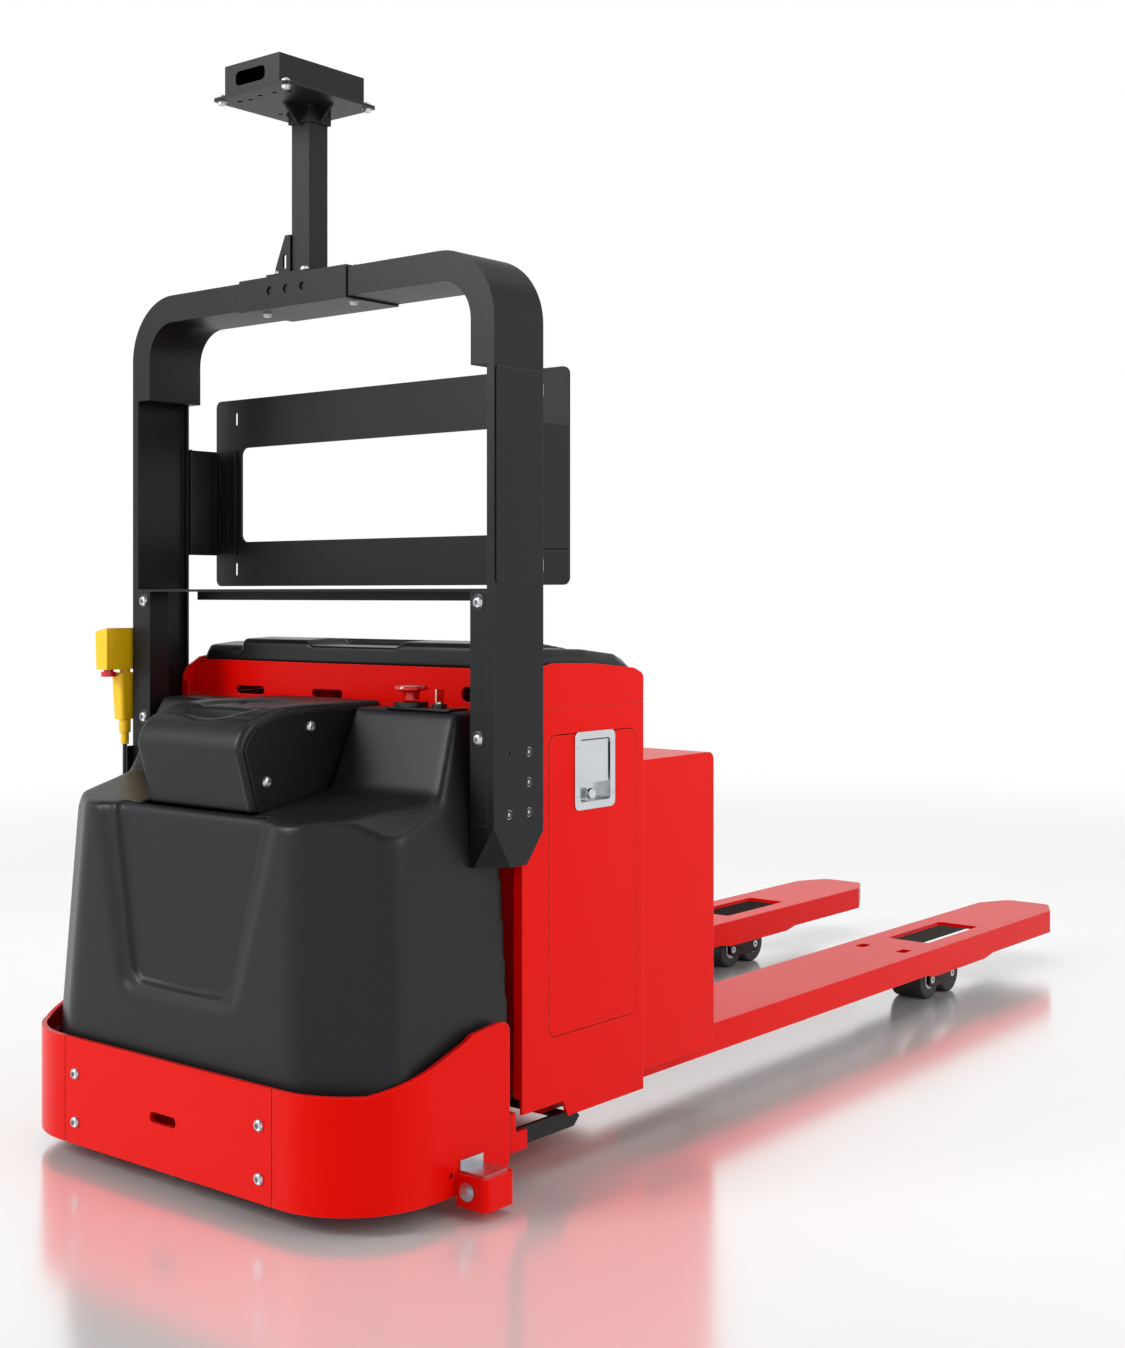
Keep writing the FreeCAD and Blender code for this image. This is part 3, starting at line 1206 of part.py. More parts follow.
build_drive_frame()
build_bumper()
build_cover()
build_hood()
build_controls()
build_portal()
build_back_frame()
build_mast()
build_battery_box()
build_door()
build_fork_frame()
build_fork()
build_rocker()
build_pull_rods()
build_load_arm()
build_bogie()
build_lift_cylinder()
build_drive()
build_castor()
build_side_blocks()
build_pendant()
build_fasteners()

doc.recompute()
for item in doc.Objects:
    if "Invalid" in item.State or "Error" in item.State:
        print("bad feature:", item.Name, item.Label, item.State)
os.makedirs("parts", exist_ok=True)
for name, item in pieces.items():
    shape = item.Shape
    if shape.isNull() or not shape.isValid():
        print("bad shape:", name)
        continue
    shape.exportStep("parts/%s.step" % name)
print("pieces:", len(pieces))
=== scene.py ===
import json
import math
import bmesh
import bpy
from mathutils import Matrix, Vector


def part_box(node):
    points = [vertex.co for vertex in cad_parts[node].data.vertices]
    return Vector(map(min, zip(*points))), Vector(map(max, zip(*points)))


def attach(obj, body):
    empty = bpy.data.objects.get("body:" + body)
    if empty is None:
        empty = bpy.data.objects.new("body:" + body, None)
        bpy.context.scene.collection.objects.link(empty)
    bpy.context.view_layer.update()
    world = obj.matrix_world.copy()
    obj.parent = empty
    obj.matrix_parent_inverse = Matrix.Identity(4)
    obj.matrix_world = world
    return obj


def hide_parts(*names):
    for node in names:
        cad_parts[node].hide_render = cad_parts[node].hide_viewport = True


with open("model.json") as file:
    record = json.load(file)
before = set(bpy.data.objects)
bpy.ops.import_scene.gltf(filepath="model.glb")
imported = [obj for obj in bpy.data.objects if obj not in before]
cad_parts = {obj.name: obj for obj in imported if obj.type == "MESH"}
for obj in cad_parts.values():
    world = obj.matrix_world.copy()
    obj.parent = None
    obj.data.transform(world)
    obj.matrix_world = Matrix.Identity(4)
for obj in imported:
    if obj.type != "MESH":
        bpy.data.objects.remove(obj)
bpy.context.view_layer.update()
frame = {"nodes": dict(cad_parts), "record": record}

nodes = frame["nodes"]


def mm(value):
    return value / 1000


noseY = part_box("bumper_front_plate")[0][1]


def along(distance):
    # metres along the truck, from a distance in mm behind the bumper's face
    return noseY + mm(distance)


# the camera stands off the truck's front right corner, level, at chest height
cameraSetup = {
    "heading": 39.0,          # degrees to the left of straight along the truck
    "place": (2.0755, -2.835, 0.870),
    "lens": 47.3,
    "shiftY": -0.0593,
}


def setCamera():
    data = bpy.data.cameras.new("viewCamera")
    data.sensor_width = 36
    data.lens = cameraSetup["lens"]
    data.shift_y = cameraSetup["shiftY"]
    data.clip_end = 60
    camera = bpy.data.objects.new("viewCamera", data)
    camera.location = cameraSetup["place"]
    camera.rotation_euler = (math.radians(90), 0, math.radians(cameraSetup["heading"]))
    bpy.context.scene.collection.objects.link(camera)
    bpy.context.scene.camera = camera


studio = {
    "floorSize": 60.0,
    "floorFade": (2.6, 5.5),  # metres from the truck over which the floor whitens out
    "horizonGlow": 1.0,       # brightness of the white cyclorama
    "zenithGlow": 0.30,
    "skyFade": (0.30, 0.62),  # share of the way up over which the one turns to the other
    "lamps": [
        # name, place, aim, size in x and y, watts
        ("keyPanel", (-2.0, -4.4, 3.0), (0.0, -0.9, 0.6), (1.4, 2.2), 125),
        ("sidePanel", (4.4, -0.2, 2.6), (0.3, 0.0, 0.5), (2.0, 3.0), 70),
        ("topPanel", (0.4, 0.2, 4.6), (0.0, 0.0, 0.4), (2.6, 4.0), 80),
    ],
}


def addLamp(name, place, aim, size, power):
    data = bpy.data.lights.new(name, "AREA")
    data.shape = "RECTANGLE"
    data.size, data.size_y = size
    data.energy = power
    lamp = bpy.data.objects.new(name, data)
    lamp.location = place
    direction = Vector(aim) - Vector(place)
    lamp.rotation_euler = direction.to_track_quat("-Z", "Y").to_euler()
    bpy.context.scene.collection.objects.link(lamp)


def linear(hexCode):
    channels = [int(hexCode[i:i + 2], 16) / 255 for i in (1, 3, 5)]
    return [c / 12.92 if c <= 0.04045 else ((c + 0.055) / 1.055) ** 2.4 for c in channels] + [1.0]


def addNode(tree, kind, settings=None, links=None):
    # on a colour mix node, input 0 is the share, 6 and 7 the two colours, and output 2 the result
    node = tree.nodes.new(kind)
    for key, value in (settings or {}).items():
        if isinstance(key, int) or key in node.inputs:
            node.inputs[key].default_value = value
        else:
            setattr(node, key, value)
    for key, (source, output) in (links or {}).items():
        tree.links.new(source.outputs[output], node.inputs[key])
    return node


surfaces = {}

# where the hollow of the forks lies, in metres: between their walls and behind the rear box; it
# gets a near-black painted shade
forkWall = mm(7.5)
behindBox = mm(20)
forkLow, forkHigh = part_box("fork_right")
forkHollow = {
    "middle": (forkLow[0] + forkHigh[0]) / 2,
    "half": (forkHigh[0] - forkLow[0]) / 2 - forkWall,
    "roof": forkHigh[2] - forkWall,
    "start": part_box("rear_box")[1][1] + behindBox,
}


def buildSurface(name, spec):
    material = bpy.data.materials.new(name)
    material.use_nodes = True
    tree = material.node_tree
    tree.nodes.clear()
    coord = addNode(tree, "ShaderNodeTexCoord")
    stretch = addNode(tree, "ShaderNodeMapping", {"Scale": spec.get("stretch", (1, 1, 1))},
                      {"Vector": (coord, "Object")})
    # broad, faint change of tone over the surface
    tone = addNode(tree, "ShaderNodeTexNoise", {"Scale": spec.get("toneScale", 3.0), "Detail": 3.0},
                   {"Vector": (coord, "Object")})
    blend = addNode(tree, "ShaderNodeMix",
                    {"data_type": "RGBA", 6: linear(spec["colour"]), 7: linear(spec["second"])},
                    {0: (tone, "Fac")})
    # grain of the finish, at its real pitch
    grain = addNode(tree, "ShaderNodeTexNoise",
                    {"Scale": 500 / spec.get("grainMm", 1.0), "Detail": 2.0, "Roughness": 0.6},
                    {"Vector": (stretch, "Vector")})
    speckle = addNode(tree, "ShaderNodeMapRange",
                      {"From Min": 0.35, "From Max": 0.65, "To Min": 0.0,
                       "To Max": spec.get("speckle", 0.08)}, {"Value": (grain, "Fac")})
    grained = addNode(tree, "ShaderNodeMix",
                      {"data_type": "RGBA", 7: linear(spec.get("speckleColour", spec["second"]))},
                      {0: (speckle, "Result"), 6: (blend, 2)})
    colourNode, colourOut = grained, 2
    settings = {"Metallic": spec.get("metallic", 0.0)}
    rounding = None
    if spec.get("edgeMm"):
        # a small radius on every edge, with a lighter colour laid along it as a painted highlight
        rounding = addNode(tree, "ShaderNodeBevel", {"samples": 4, "Radius": mm(spec["edgeMm"])})
        flat = addNode(tree, "ShaderNodeNewGeometry")
        facing = addNode(tree, "ShaderNodeVectorMath", {"operation": "DOT_PRODUCT"},
                         {0: (rounding, "Normal"), 1: (flat, "True Normal")})
        edge = addNode(tree, "ShaderNodeMapRange",
                       {"From Min": 0.97, "From Max": 0.75, "To Min": 0.0,
                        "To Max": spec.get("edgeHighlight", 0.35)}, {"Value": (facing, "Value")})
        edgeHighlighted = addNode(tree, "ShaderNodeMix", {"data_type": "RGBA", 7: linear(spec["edgeColour"])},
                       {0: (edge, "Result"), 6: (grained, 2)})
        colourNode = edgeHighlighted
    if spec.get("inside"):
        # the faces inside the forks' hollow get a near-black colour, a painted shade for the dark
        # hollow
        apart = addNode(tree, "ShaderNodeSeparateXYZ", None, {0: (coord, "Object")})
        aside = addNode(tree, "ShaderNodeMath", {"operation": "ABSOLUTE"}, {0: (apart, "X")})
        off = addNode(tree, "ShaderNodeMath", {"operation": "SUBTRACT", 1: forkHollow["middle"]},
                      {0: (aside, "Value")})
        away = addNode(tree, "ShaderNodeMath", {"operation": "ABSOLUTE"}, {0: (off, "Value")})
        between = addNode(tree, "ShaderNodeMath",
                          {"operation": "LESS_THAN", 1: forkHollow["half"]}, {0: (away, "Value")})
        below = addNode(tree, "ShaderNodeMath",
                        {"operation": "LESS_THAN", 1: forkHollow["roof"]}, {0: (apart, "Z")})
        beyond = addNode(tree, "ShaderNodeMath",
                         {"operation": "GREATER_THAN", 1: forkHollow["start"]}, {0: (apart, "Y")})
        both = addNode(tree, "ShaderNodeMath", {"operation": "MULTIPLY"},
                       {0: (between, "Value"), 1: (below, "Value")})
        hollow = addNode(tree, "ShaderNodeMath", {"operation": "MULTIPLY"},
                         {0: (both, "Value"), 1: (beyond, "Value")})
        colourNode = addNode(tree, "ShaderNodeMix",
                             {"data_type": "RGBA", 7: linear(spec["inside"])},
                             {0: (hollow, "Value"), 6: (colourNode, colourOut)})
    rough = addNode(tree, "ShaderNodeMapRange",
                    {"To Min": spec["rough"][0], "To Max": spec["rough"][1]},
                    {"Value": (tone, "Fac")})
    bump = addNode(tree, "ShaderNodeBump", {"Strength": spec.get("grainStrength", 0.2),
                                            "Distance": mm(spec.get("grainDepthMm", 0.05))},
                   {"Height": (grain, "Fac")})
    if rounding:
        tree.links.new(rounding.outputs["Normal"], bump.inputs["Normal"])
    shader = addNode(tree, "ShaderNodeBsdfPrincipled", settings,
                     {"Base Color": (colourNode, colourOut), "Roughness": (rough, "Result"),
                      "Normal": (bump, "Normal")})
    if not spec.get("metallic"):
        shader.inputs["IOR"].default_value = spec.get("ior", 1.5)
    if spec.get("shine"):
        shader.inputs["Specular Tint"].default_value = spec["shine"]
    if spec.get("coat"):
        shader.inputs["Coat Weight"].default_value = spec["coat"]
        shader.inputs["Coat Roughness"].default_value = spec.get("coatRough", 0.08)
    addNode(tree, "ShaderNodeOutputMaterial", None, {"Surface": (shader, "BSDF")})
    surfaces[name] = material
    return material


# edgeColour, with the share after it, paints a lighter highlight along each edge
finishes = {
    # polyester powder coat, sprayed and baked: a faint orange peel under a clear gloss
    "redPowderCoat": {"colour": "#DF0601", "second": "#D80501", "rough": (0.285, 0.33), "ior": 1.27,
                      "grainMm": 7.0, "grainDepthMm": 0.02, "grainStrength": 0.10,
                      "speckle": 0.05, "edgeMm": 2.0, "edgeColour": "#FF6A5C",
                      "edgeHighlight": 0.45, "toneScale": 1.1, "shine": (1.0, 0.35, 0.30, 1.0),
                      # the inside colour is a painted shade for the hollow of the forks
                      "inside": "#120A0A"},
    # fine-texture black powder coat on folded steel: satin with a tight sandy grain
    "blackPowderCoat": {"colour": "#0B0C0E", "second": "#0E0F11", "rough": (0.36, 0.44),
                        "ior": 1.32, "grainMm": 0.9, "grainDepthMm": 0.04,
                        "grainStrength": 0.3, "speckle": 0.3, "speckleColour": "#24262A",
                        "edgeMm": 1.4, "edgeColour": "#5A5E64", "edgeHighlight": 0.5},
    # moulded ABS with a spark-eroded grain: a soft grey sheen over near black
    "sparkGrainAbs": {"colour": "#0F1012", "second": "#131416", "rough": (0.36, 0.44),
                      "ior": 1.36, "grainMm": 1.1, "grainDepthMm": 0.05, "grainStrength": 0.35,
                      "speckle": 0.35, "speckleColour": "#222428"},
    # moulded ABS of the lid, from a smoother tool: broader, cleaner highlights
    "smoothAbs": {"colour": "#0A0B0C", "second": "#0E0F10", "rough": (0.28, 0.36), "ior": 1.40,
                  "grainMm": 1.4, "grainDepthMm": 0.03, "grainStrength": 0.2,
                  "speckle": 0.15, "speckleColour": "#222427"},
    # glass-filled nylon of switches and bezels: dense black with a dull skin
    "switchNylon": {"colour": "#0C0D0E", "second": "#111214", "rough": (0.30, 0.40),
                    "grainMm": 0.8, "edgeMm": 0.6, "edgeColour": "#3A3C40", "edgeHighlight": 0.4},
    # bright zinc plate on pressed steel: silvery with a faint blue-grey mottle
    "zincPlate": {"colour": "#D2D4D7", "second": "#B4B8BE", "rough": (0.28, 0.36),
                  "metallic": 1.0, "grainMm": 1.0, "grainDepthMm": 0.01, "toneScale": 60.0},
    # stainless pressing, brushed along its height: fine upright streaks
    "brushedStainless": {"colour": "#DDDFE1", "second": "#C4C8CC", "rough": (0.19, 0.265),
                         "metallic": 1.0, "grainMm": 0.7, "grainDepthMm": 0.015,
                         "stretch": (1, 1, 0.06), "toneScale": 12.0, "edgeMm": 1.0,
                         "edgeColour": "#F2F4F5", "edgeHighlight": 0.5},
    # ground and hard-chromed rod: a mirror with the least haze
    "hardChrome": {"colour": "#E4E6E8", "second": "#DDE0E3", "rough": (0.06, 0.10),
                   "metallic": 1.0, "grainMm": 0.6},
    # grey cast iron, painted: pitted and dull
    "paintedCastIron": {"colour": "#2E3033", "second": "#3A3C40", "rough": (0.55, 0.68),
                        "grainMm": 1.6, "grainDepthMm": 0.12, "grainStrength": 0.6},
    # cast polyurethane tyre: waxy black, with a painted highlight along its shoulders
    "castPolyurethane": {"colour": "#0E0F10", "second": "#17181A", "rough": (0.46, 0.62),
                         "grainMm": 0.8, "grainDepthMm": 0.05, "grainStrength": 0.4,
                         "speckle": 0.3, "speckleColour": "#2A2B2D", "edgeMm": 2.0,
                         "edgeColour": "#3C3E40", "edgeHighlight": 0.4},
    # injection-moulded gloss ABS of the stop buttons: wet-looking red
    "glossRedAbs": {"colour": "#D90B0B", "second": "#CB0909", "rough": (0.14, 0.20), "coat": 0.4,
                    "grainMm": 2.0},
    # yellow ABS of the pendant, lightly textured
    "yellowAbs": {"colour": "#FBC800", "second": "#F2BE00", "rough": (0.30, 0.40),
                  "grainMm": 1.0, "grainDepthMm": 0.03, "edgeMm": 1.2, "edgeColour": "#FFD95A",
                  "edgeHighlight": 0.5},
    # extruded PVC cable jacket: smooth, faintly dusty black
    "pvcJacket": {"colour": "#101112", "second": "#16171A", "rough": (0.42, 0.54),
                  "grainMm": 1.0},
    # moulded polypropylene battery case: grey-black with a waxy sheen
    "mouldedPolypropylene": {"colour": "#1E2023", "second": "#26282B", "rough": (0.48, 0.58),
                             "grainMm": 1.4},
    # nickel-plated brass key: warm silver
    "nickelPlate": {"colour": "#CFCBC0", "second": "#C2BEB3", "rough": (0.18, 0.28),
                    "metallic": 1.0, "grainMm": 0.8},
    # lacquered pale floor: white with a soft mirror in the clear coat
    "lacqueredFloor": {"colour": "#FBFBFB", "second": "#F8F8F8", "rough": (0.16, 0.19),
                       "grainMm": 6.0, "grainStrength": 0.02, "speckle": 0.02,
                       "metallic": 0.50},
}

slotFinish = {
    "red_paint": "redPowderCoat", "black_powder_coat": "blackPowderCoat",
    "charcoal_moulding": "sparkGrainAbs", "black_lid_moulding": "smoothAbs",
    "black_switch_plastic": "switchNylon", "zinc_steel": "zincPlate",
    "stainless_latch": "brushedStainless", "chromed_rod": "hardChrome",
    "cast_hub": "paintedCastIron", "black_tyre": "castPolyurethane",
    "stop_red": "glossRedAbs", "pendant_yellow": "yellowAbs",
    "cable_rubber": "pvcJacket", "battery_case": "mouldedPolypropylene",
    "key_metal": "nickelPlate",
}


def coatNodes():
    for part in frame["record"]["subparts"]:
        finish = surfaces[slotFinish[part["material_slot"]]]
        for place in nodes[part["node"]].material_slots:
            place.material = finish


def addPiece(name, mesh, finish, body):
    piece = bpy.data.objects.new(name, mesh)
    bpy.context.scene.collection.objects.link(piece)
    mesh.materials.clear()
    mesh.materials.append(surfaces[finish])
    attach(piece, body)
    return piece


def baked(piece):
    # the mesh with the modifiers applied
    layer = bpy.context.evaluated_depsgraph_get()
    mesh = bpy.data.meshes.new_from_object(piece.evaluated_get(layer))
    piece.modifiers.clear()
    piece.data = mesh
    return mesh


def smoothstep(value, low, high):
    share = min(max((value - low) / (high - low), 0.0), 1.0)
    return share * share * (3 - 2 * share)


def softShell(nodeName, name, finish, body, spec, freedom=None, carve=None, prepare=None):
    # a moulded shell: remeshed fine, then eased like a draft-angled moulding where freedom allows
    mesh = nodes[nodeName].data.copy()
    if prepare:
        for vertex in mesh.vertices:
            prepare(vertex)
    piece = addPiece(name, mesh, finish, body)
    remesh = piece.modifiers.new("shell", "REMESH")
    remesh.mode = "VOXEL"
    remesh.voxel_size = mm(spec["voxel"])
    mesh = baked(piece)
    levels = {}
    for vertex in mesh.vertices:
        share = freedom(vertex.co) if freedom else 1.0
        levels.setdefault(round(share * 10), []).append(vertex.index)
    group = piece.vertex_groups.new(name="soft")
    for level, members in levels.items():
        group.add(members, level / 10, "REPLACE")
    ease = piece.modifiers.new("ease", "SMOOTH")
    ease.factor = 0.5
    ease.iterations = spec["rounds"]
    ease.vertex_group = "soft"
    thin = piece.modifiers.new("thin", "DECIMATE")
    thin.ratio = spec["keep"]
    mesh = baked(piece)
    if carve:
        for vertex in mesh.vertices:
            carve(vertex)
    mesh.shade_smooth()
    mesh.materials.clear()
    mesh.materials.append(surfaces[finish])
    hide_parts(nodeName)
    return piece


# lengths in mm; the well is the cover's recess round the hood
coverMoulding = {"voxel": 3.5, "rounds": 40, "keep": 0.35, "foot": 165, "rim": 26,
                 "wellFront": 62, "wellBeside": 8, "wellRim": 16}
# slope is the share of the sideways distance that stands square to the panel's slanting side
nosePanel = {"low": 282, "high": 600, "lowHalf": 112, "highHalf": 186, "corner": 34, "slope": 0.97,
             "bevel": 9, "depth": 7, "reachBack": 58}


def panelReach(x, z):
    # distance inside the panel's outline in mm: a tapering shield with round lower corners
    share = (z - nosePanel["low"]) / (nosePanel["high"] - nosePanel["low"])
    half = nosePanel["lowHalf"] + (nosePanel["highHalf"] - nosePanel["lowHalf"]) * share
    aside = (half - abs(x)) * nosePanel["slope"]
    above = z - nosePanel["low"]
    corner = nosePanel["corner"]
    if aside < corner and above < corner:
        return corner - math.hypot(corner - aside, corner - above)
    return min(aside, above)


def buildCover():
    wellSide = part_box("hood_sides")[1][0] + mm(coverMoulding["wellBeside"])
    wellFront = along(coverMoulding["wellFront"])
    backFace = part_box("steering_hood")[1][1]
    foot = mm(coverMoulding["foot"])
    panelBack = along(nosePanel["reachBack"])

    def freedom(point):
        # the foot, the open back and the edge of the hood's well stay true
        share = smoothstep(point.z, foot, foot + mm(coverMoulding["rim"]))
        share = min(share, smoothstep(backFace - point.y, 0.0, mm(coverMoulding["rim"])))
        aside = max(abs(point.x) - wellSide, wellFront - point.y)
        return min(share, smoothstep(aside, 0.0, mm(coverMoulding["wellRim"])))

    def carve(vertex):
        # the sunk panel on the nose, with a crisp rolled edge
        point = vertex.co
        if point.y > panelBack or point.z > mm(nosePanel["high"]):
            return
        inside = panelReach(point.x * 1000, point.z * 1000)
        point.y += mm(nosePanel["depth"]) * smoothstep(inside, 0.0, nosePanel["bevel"])

    softShell("cover", "coverMoulding", "sparkGrainAbs", "chassis", coverMoulding, freedom, carve)


# lengths in mm; the plain dish is the solid's own, which the oval one takes the place of
hoodMoulding = {"voxel": 2.2, "rounds": 12, "keep": 0.4, "rim": 18, "backRim": 15, "skin": 34}
plainDish = {"depth": 3, "tolerance": 0.6, "place": 178, "reach": 61}
ovalDish = {"place": 150, "length": 92, "width": 84, "depth": 5.0, "rimStart": 0.70}
crease = {"aside": -14, "behind": 6, "across": (0.75, 0.66), "half": 9, "rise": (-6, 10),
          "length": 70, "fadeStart": 0.4, "depth": 4}


def buildHood():
    low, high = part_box("steering_hood")
    dishY = along(ovalDish["place"])
    acrossX, acrossY = crease["across"]

    def freedom(point):
        share = smoothstep(point.z, low[2], low[2] + mm(hoodMoulding["rim"]))
        return min(share, smoothstep(high[1] - point.y, 0.0, mm(hoodMoulding["backRim"])))

    def prepare(vertex):
        # the shallow round dish is closed first, so that the skin keeps its thickness
        point = vertex.co
        if abs(point.z - high[2] + mm(plainDish["depth"])) < mm(plainDish["tolerance"]):
            if math.hypot(point.x, point.y - along(plainDish["place"])) < mm(plainDish["reach"]):
                point.z = high[2]

    def carve(vertex):
        # an oval dish in the top, with a slanting crease that fades towards its rim
        point = vertex.co
        if point.z < high[2] - mm(hoodMoulding["skin"]):
            return
        reach = math.hypot(point.x / mm(ovalDish["width"]),
                           (point.y - dishY) / mm(ovalDish["length"]))
        depth = 1 - smoothstep(reach, ovalDish["rimStart"], 1.0)
        offX = point.x - mm(crease["aside"])
        offY = point.y - dishY - mm(crease["behind"])
        side = offX * acrossX + offY * acrossY
        run = offY * acrossX - offX * acrossY
        fold = max(0.0, 1 - abs(side) / mm(crease["half"]))
        fold *= smoothstep(run, mm(crease["rise"][0]), mm(crease["rise"][1]))
        fold *= 1 - smoothstep(run, mm(crease["length"]) * crease["fadeStart"],
                               mm(crease["length"]))
        point.z -= depth * (mm(ovalDish["depth"]) + mm(crease["depth"]) * fold)

    softShell("steering_hood", "hoodMoulding", "sparkGrainAbs", "chassis", hoodMoulding, freedom,
              carve, prepare)


lidMoulding = {"voxel": 2.6, "rounds": 9, "keep": 0.3}


def buildLid():
    softShell("battery_lid", "lidMoulding", "smoothAbs", "carriage", lidMoulding)


def hexReach(radius, angle):
    turn = (angle % (math.pi / 3)) - math.pi / 6
    return radius * math.cos(math.pi / 6) / math.cos(turn)


def turnedInto(work, profile, place, way, steps=24):
    # rings of (radius, height, shape) in mm about an axis, closed at the last ring
    turn = Vector(way).to_track_quat("Z", "Y").to_matrix().to_4x4()
    matrix = Matrix.Translation(Vector(place)) @ turn
    rings = []
    for radius, height, shape in profile:
        ring = []
        for step in range(steps):
            angle = 2 * math.pi * step / steps
            reach = hexReach(radius, angle) if shape == "hex" else radius
            ring.append(work.verts.new(matrix @ Vector((mm(reach) * math.cos(angle),
                                                        mm(reach) * math.sin(angle),
                                                        mm(height)))))
        rings.append(ring)
    for first, second in zip(rings, rings[1:]):
        for step in range(steps):
            after = (step + 1) % steps
            work.faces.new((first[step], first[after], second[after], second[step]))
    work.faces.new(rings[-1])
    work.faces.new(list(reversed(rings[0])))


def finishMesh(work, name, sharpDegrees=32):
    mesh = bpy.data.meshes.new(name)
    work.normal_update()
    for edge in work.edges:
        edge.smooth = edge.calc_face_angle(0) < math.radians(sharpDegrees)
    for face in work.faces:
        face.smooth = True
    work.to_mesh(mesh)
    work.free()
    return mesh


def turnedSet(name, profile, spots, finish, body, steps=24):
    work = bmesh.new()
    for place, way in spots:
        turnedInto(work, profile, place, way, steps)
    return addPiece(name, finishMesh(work, name), finish, body)


# button-head socket screw, M8: domed head, hexagon socket
buttonHead = [(9, 0, "round"), (9, 1.2, "round"), (8.3, 3.0, "round"), (6.6, 4.4, "round"),
              (4.6, 5.0, "round"), (3.9, 5.0, "hex"), (3.9, 1.6, "hex"), (0.6, 1.5, "round")]
# plain washer under it
plainWasher = [(12.5, 0, "round"), (12.5, 0.9, "round"), (12.0, 1.2, "round"),
               (9.2, 1.2, "round")]
# cap screw sunk in a counterbore
capHead = [(6.2, 0, "round"), (6.2, 2.2, "round"), (5.6, 3.0, "round"), (3.6, 3.0, "round"),
           (3.2, 3.0, "hex"), (3.2, 0.9, "hex"), (0.5, 0.8, "round")]
# hexagon nut with a turned washer face
hexNut = [(10.5, 0, "round"), (10.5, 1.0, "round"), (8.4, 1.0, "hex"), (8.4, 5.6, "hex"),
          (7.2, 6.4, "round"), (3.8, 6.4, "round"), (3.6, 8.2, "round"), (3.0, 8.6, "round")]
# hexagon bolt head with a washer face
hexHead = [(10.5, 0, "round"), (10.5, 1.2, "round"), (8.6, 1.2, "hex"), (8.6, 5.4, "hex"),
           (7.2, 6.2, "round")]


# shares of a head's or nut's width and height, and the levels in m that part the groups
screwDetail = {"boltWidth": 0.74, "boltRise": 0.9, "nutWidth": 0.8, "nutRise": 0.8,
               "stripLevel": 0.4, "mastLevel": 1.5, "sleeveReach": 2}


def resized(profile, width, rise):
    return [(radius * width, height * rise, shape) for radius, height, shape in profile]


def islandBoxes(nodeName):
    # the box of each separate solid in a node
    work = bmesh.new()
    work.from_mesh(nodes[nodeName].data)
    bmesh.ops.remove_doubles(work, verts=work.verts, dist=1e-6)
    seen = set()
    boxes = []
    for seed in work.verts:
        if seed in seen:
            continue
        island = [seed]
        seen.add(seed)
        for vertex in island:
            for edge in vertex.link_edges:
                other = edge.other_vert(vertex)
                if other not in seen:
                    seen.add(other)
                    island.append(other)
        low = Vector([min(v.co[i] for v in island) for i in range(3)])
        high = Vector([max(v.co[i] for v in island) for i in range(3)])
        boxes.append((low, high))
    work.free()
    return boxes


def headSpots(nodeName):
    # where each head sits, and the way it points, away from the middle of the truck
    spots = []
    for low, high in islandBoxes(nodeName):
        size = high - low
        axis = min(range(3), key=lambda i: size[i])
        middle = (low + high) / 2
        way = [0, 0, 0]
        if axis == 0:
            way[0] = 1 if middle.x > 0 else -1
        elif axis == 1:
            way[1] = -1
        else:
            way[2] = 1
        place = middle.copy()
        place[axis] = low[axis] if way[axis] > 0 else high[axis]
        spots.append((place, way, axis))
    return spots


def buildScrews():
    spots = headSpots("button_screws")
    screws = turnedSet("buttonScrews", buttonHead, [(place, way) for place, way, axis in spots],
                       "zincPlate", "chassis")
    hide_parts("button_screws")
    stripSpots = [(place, way) for place, way, axis in spots
                  if axis == 1 and place.z > screwDetail["stripLevel"]]
    turnedSet("stripWashers", plainWasher, stripSpots, "switchNylon", "chassis")
    # hexagon bolts: those under the sensor plate and the sleeve hang head down, the rest stand
    bolts = []
    nuts = []
    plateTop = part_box("sensor_box")[0][2]
    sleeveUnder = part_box("splice_sleeve")[0][2] + mm(screwDetail["sleeveReach"])
    for low, high in islandBoxes("hex_bolts"):
        middle = (low + high) / 2
        atPlate = low.z > screwDetail["mastLevel"]
        if atPlate or high.z < sleeveUnder:
            bolts.append(((middle.x, middle.y, high.z), (0, 0, -1)))
        else:
            bolts.append(((middle.x, middle.y, low.z), (0, 0, 1)))
        if atPlate:
            nuts.append(((middle.x, middle.y, plateTop), (0, 0, 1)))
    boltHead = resized(hexHead, screwDetail["boltWidth"], screwDetail["boltRise"])
    heads = turnedSet("hexBolts", boltHead, bolts, "zincPlate", "chassis", steps=36)
    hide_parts("hex_bolts")
    plateNut = resized(hexNut, screwDetail["nutWidth"], screwDetail["nutRise"])
    turnedSet("sensorNuts", plateNut, nuts, "zincPlate", "chassis", steps=36)


# a thin bright ring round a hole, turned down into it: a painted highlight standing for the glint
# on the hole's edge
glintRingProfile = [(8.4, 0, "round"), (8.4, 0.5, "round"), (7.6, 0.7, "round"), (7.0, 0.2, "round"),
              (6.9, -1.2, "round")]
legScrews = {"rows": [(340, 640), (340, 596), (340, 552), (296, 552), (296, 640)], "sunk": 3.4,
             "rimSink": 1.05, "width": 0.98}


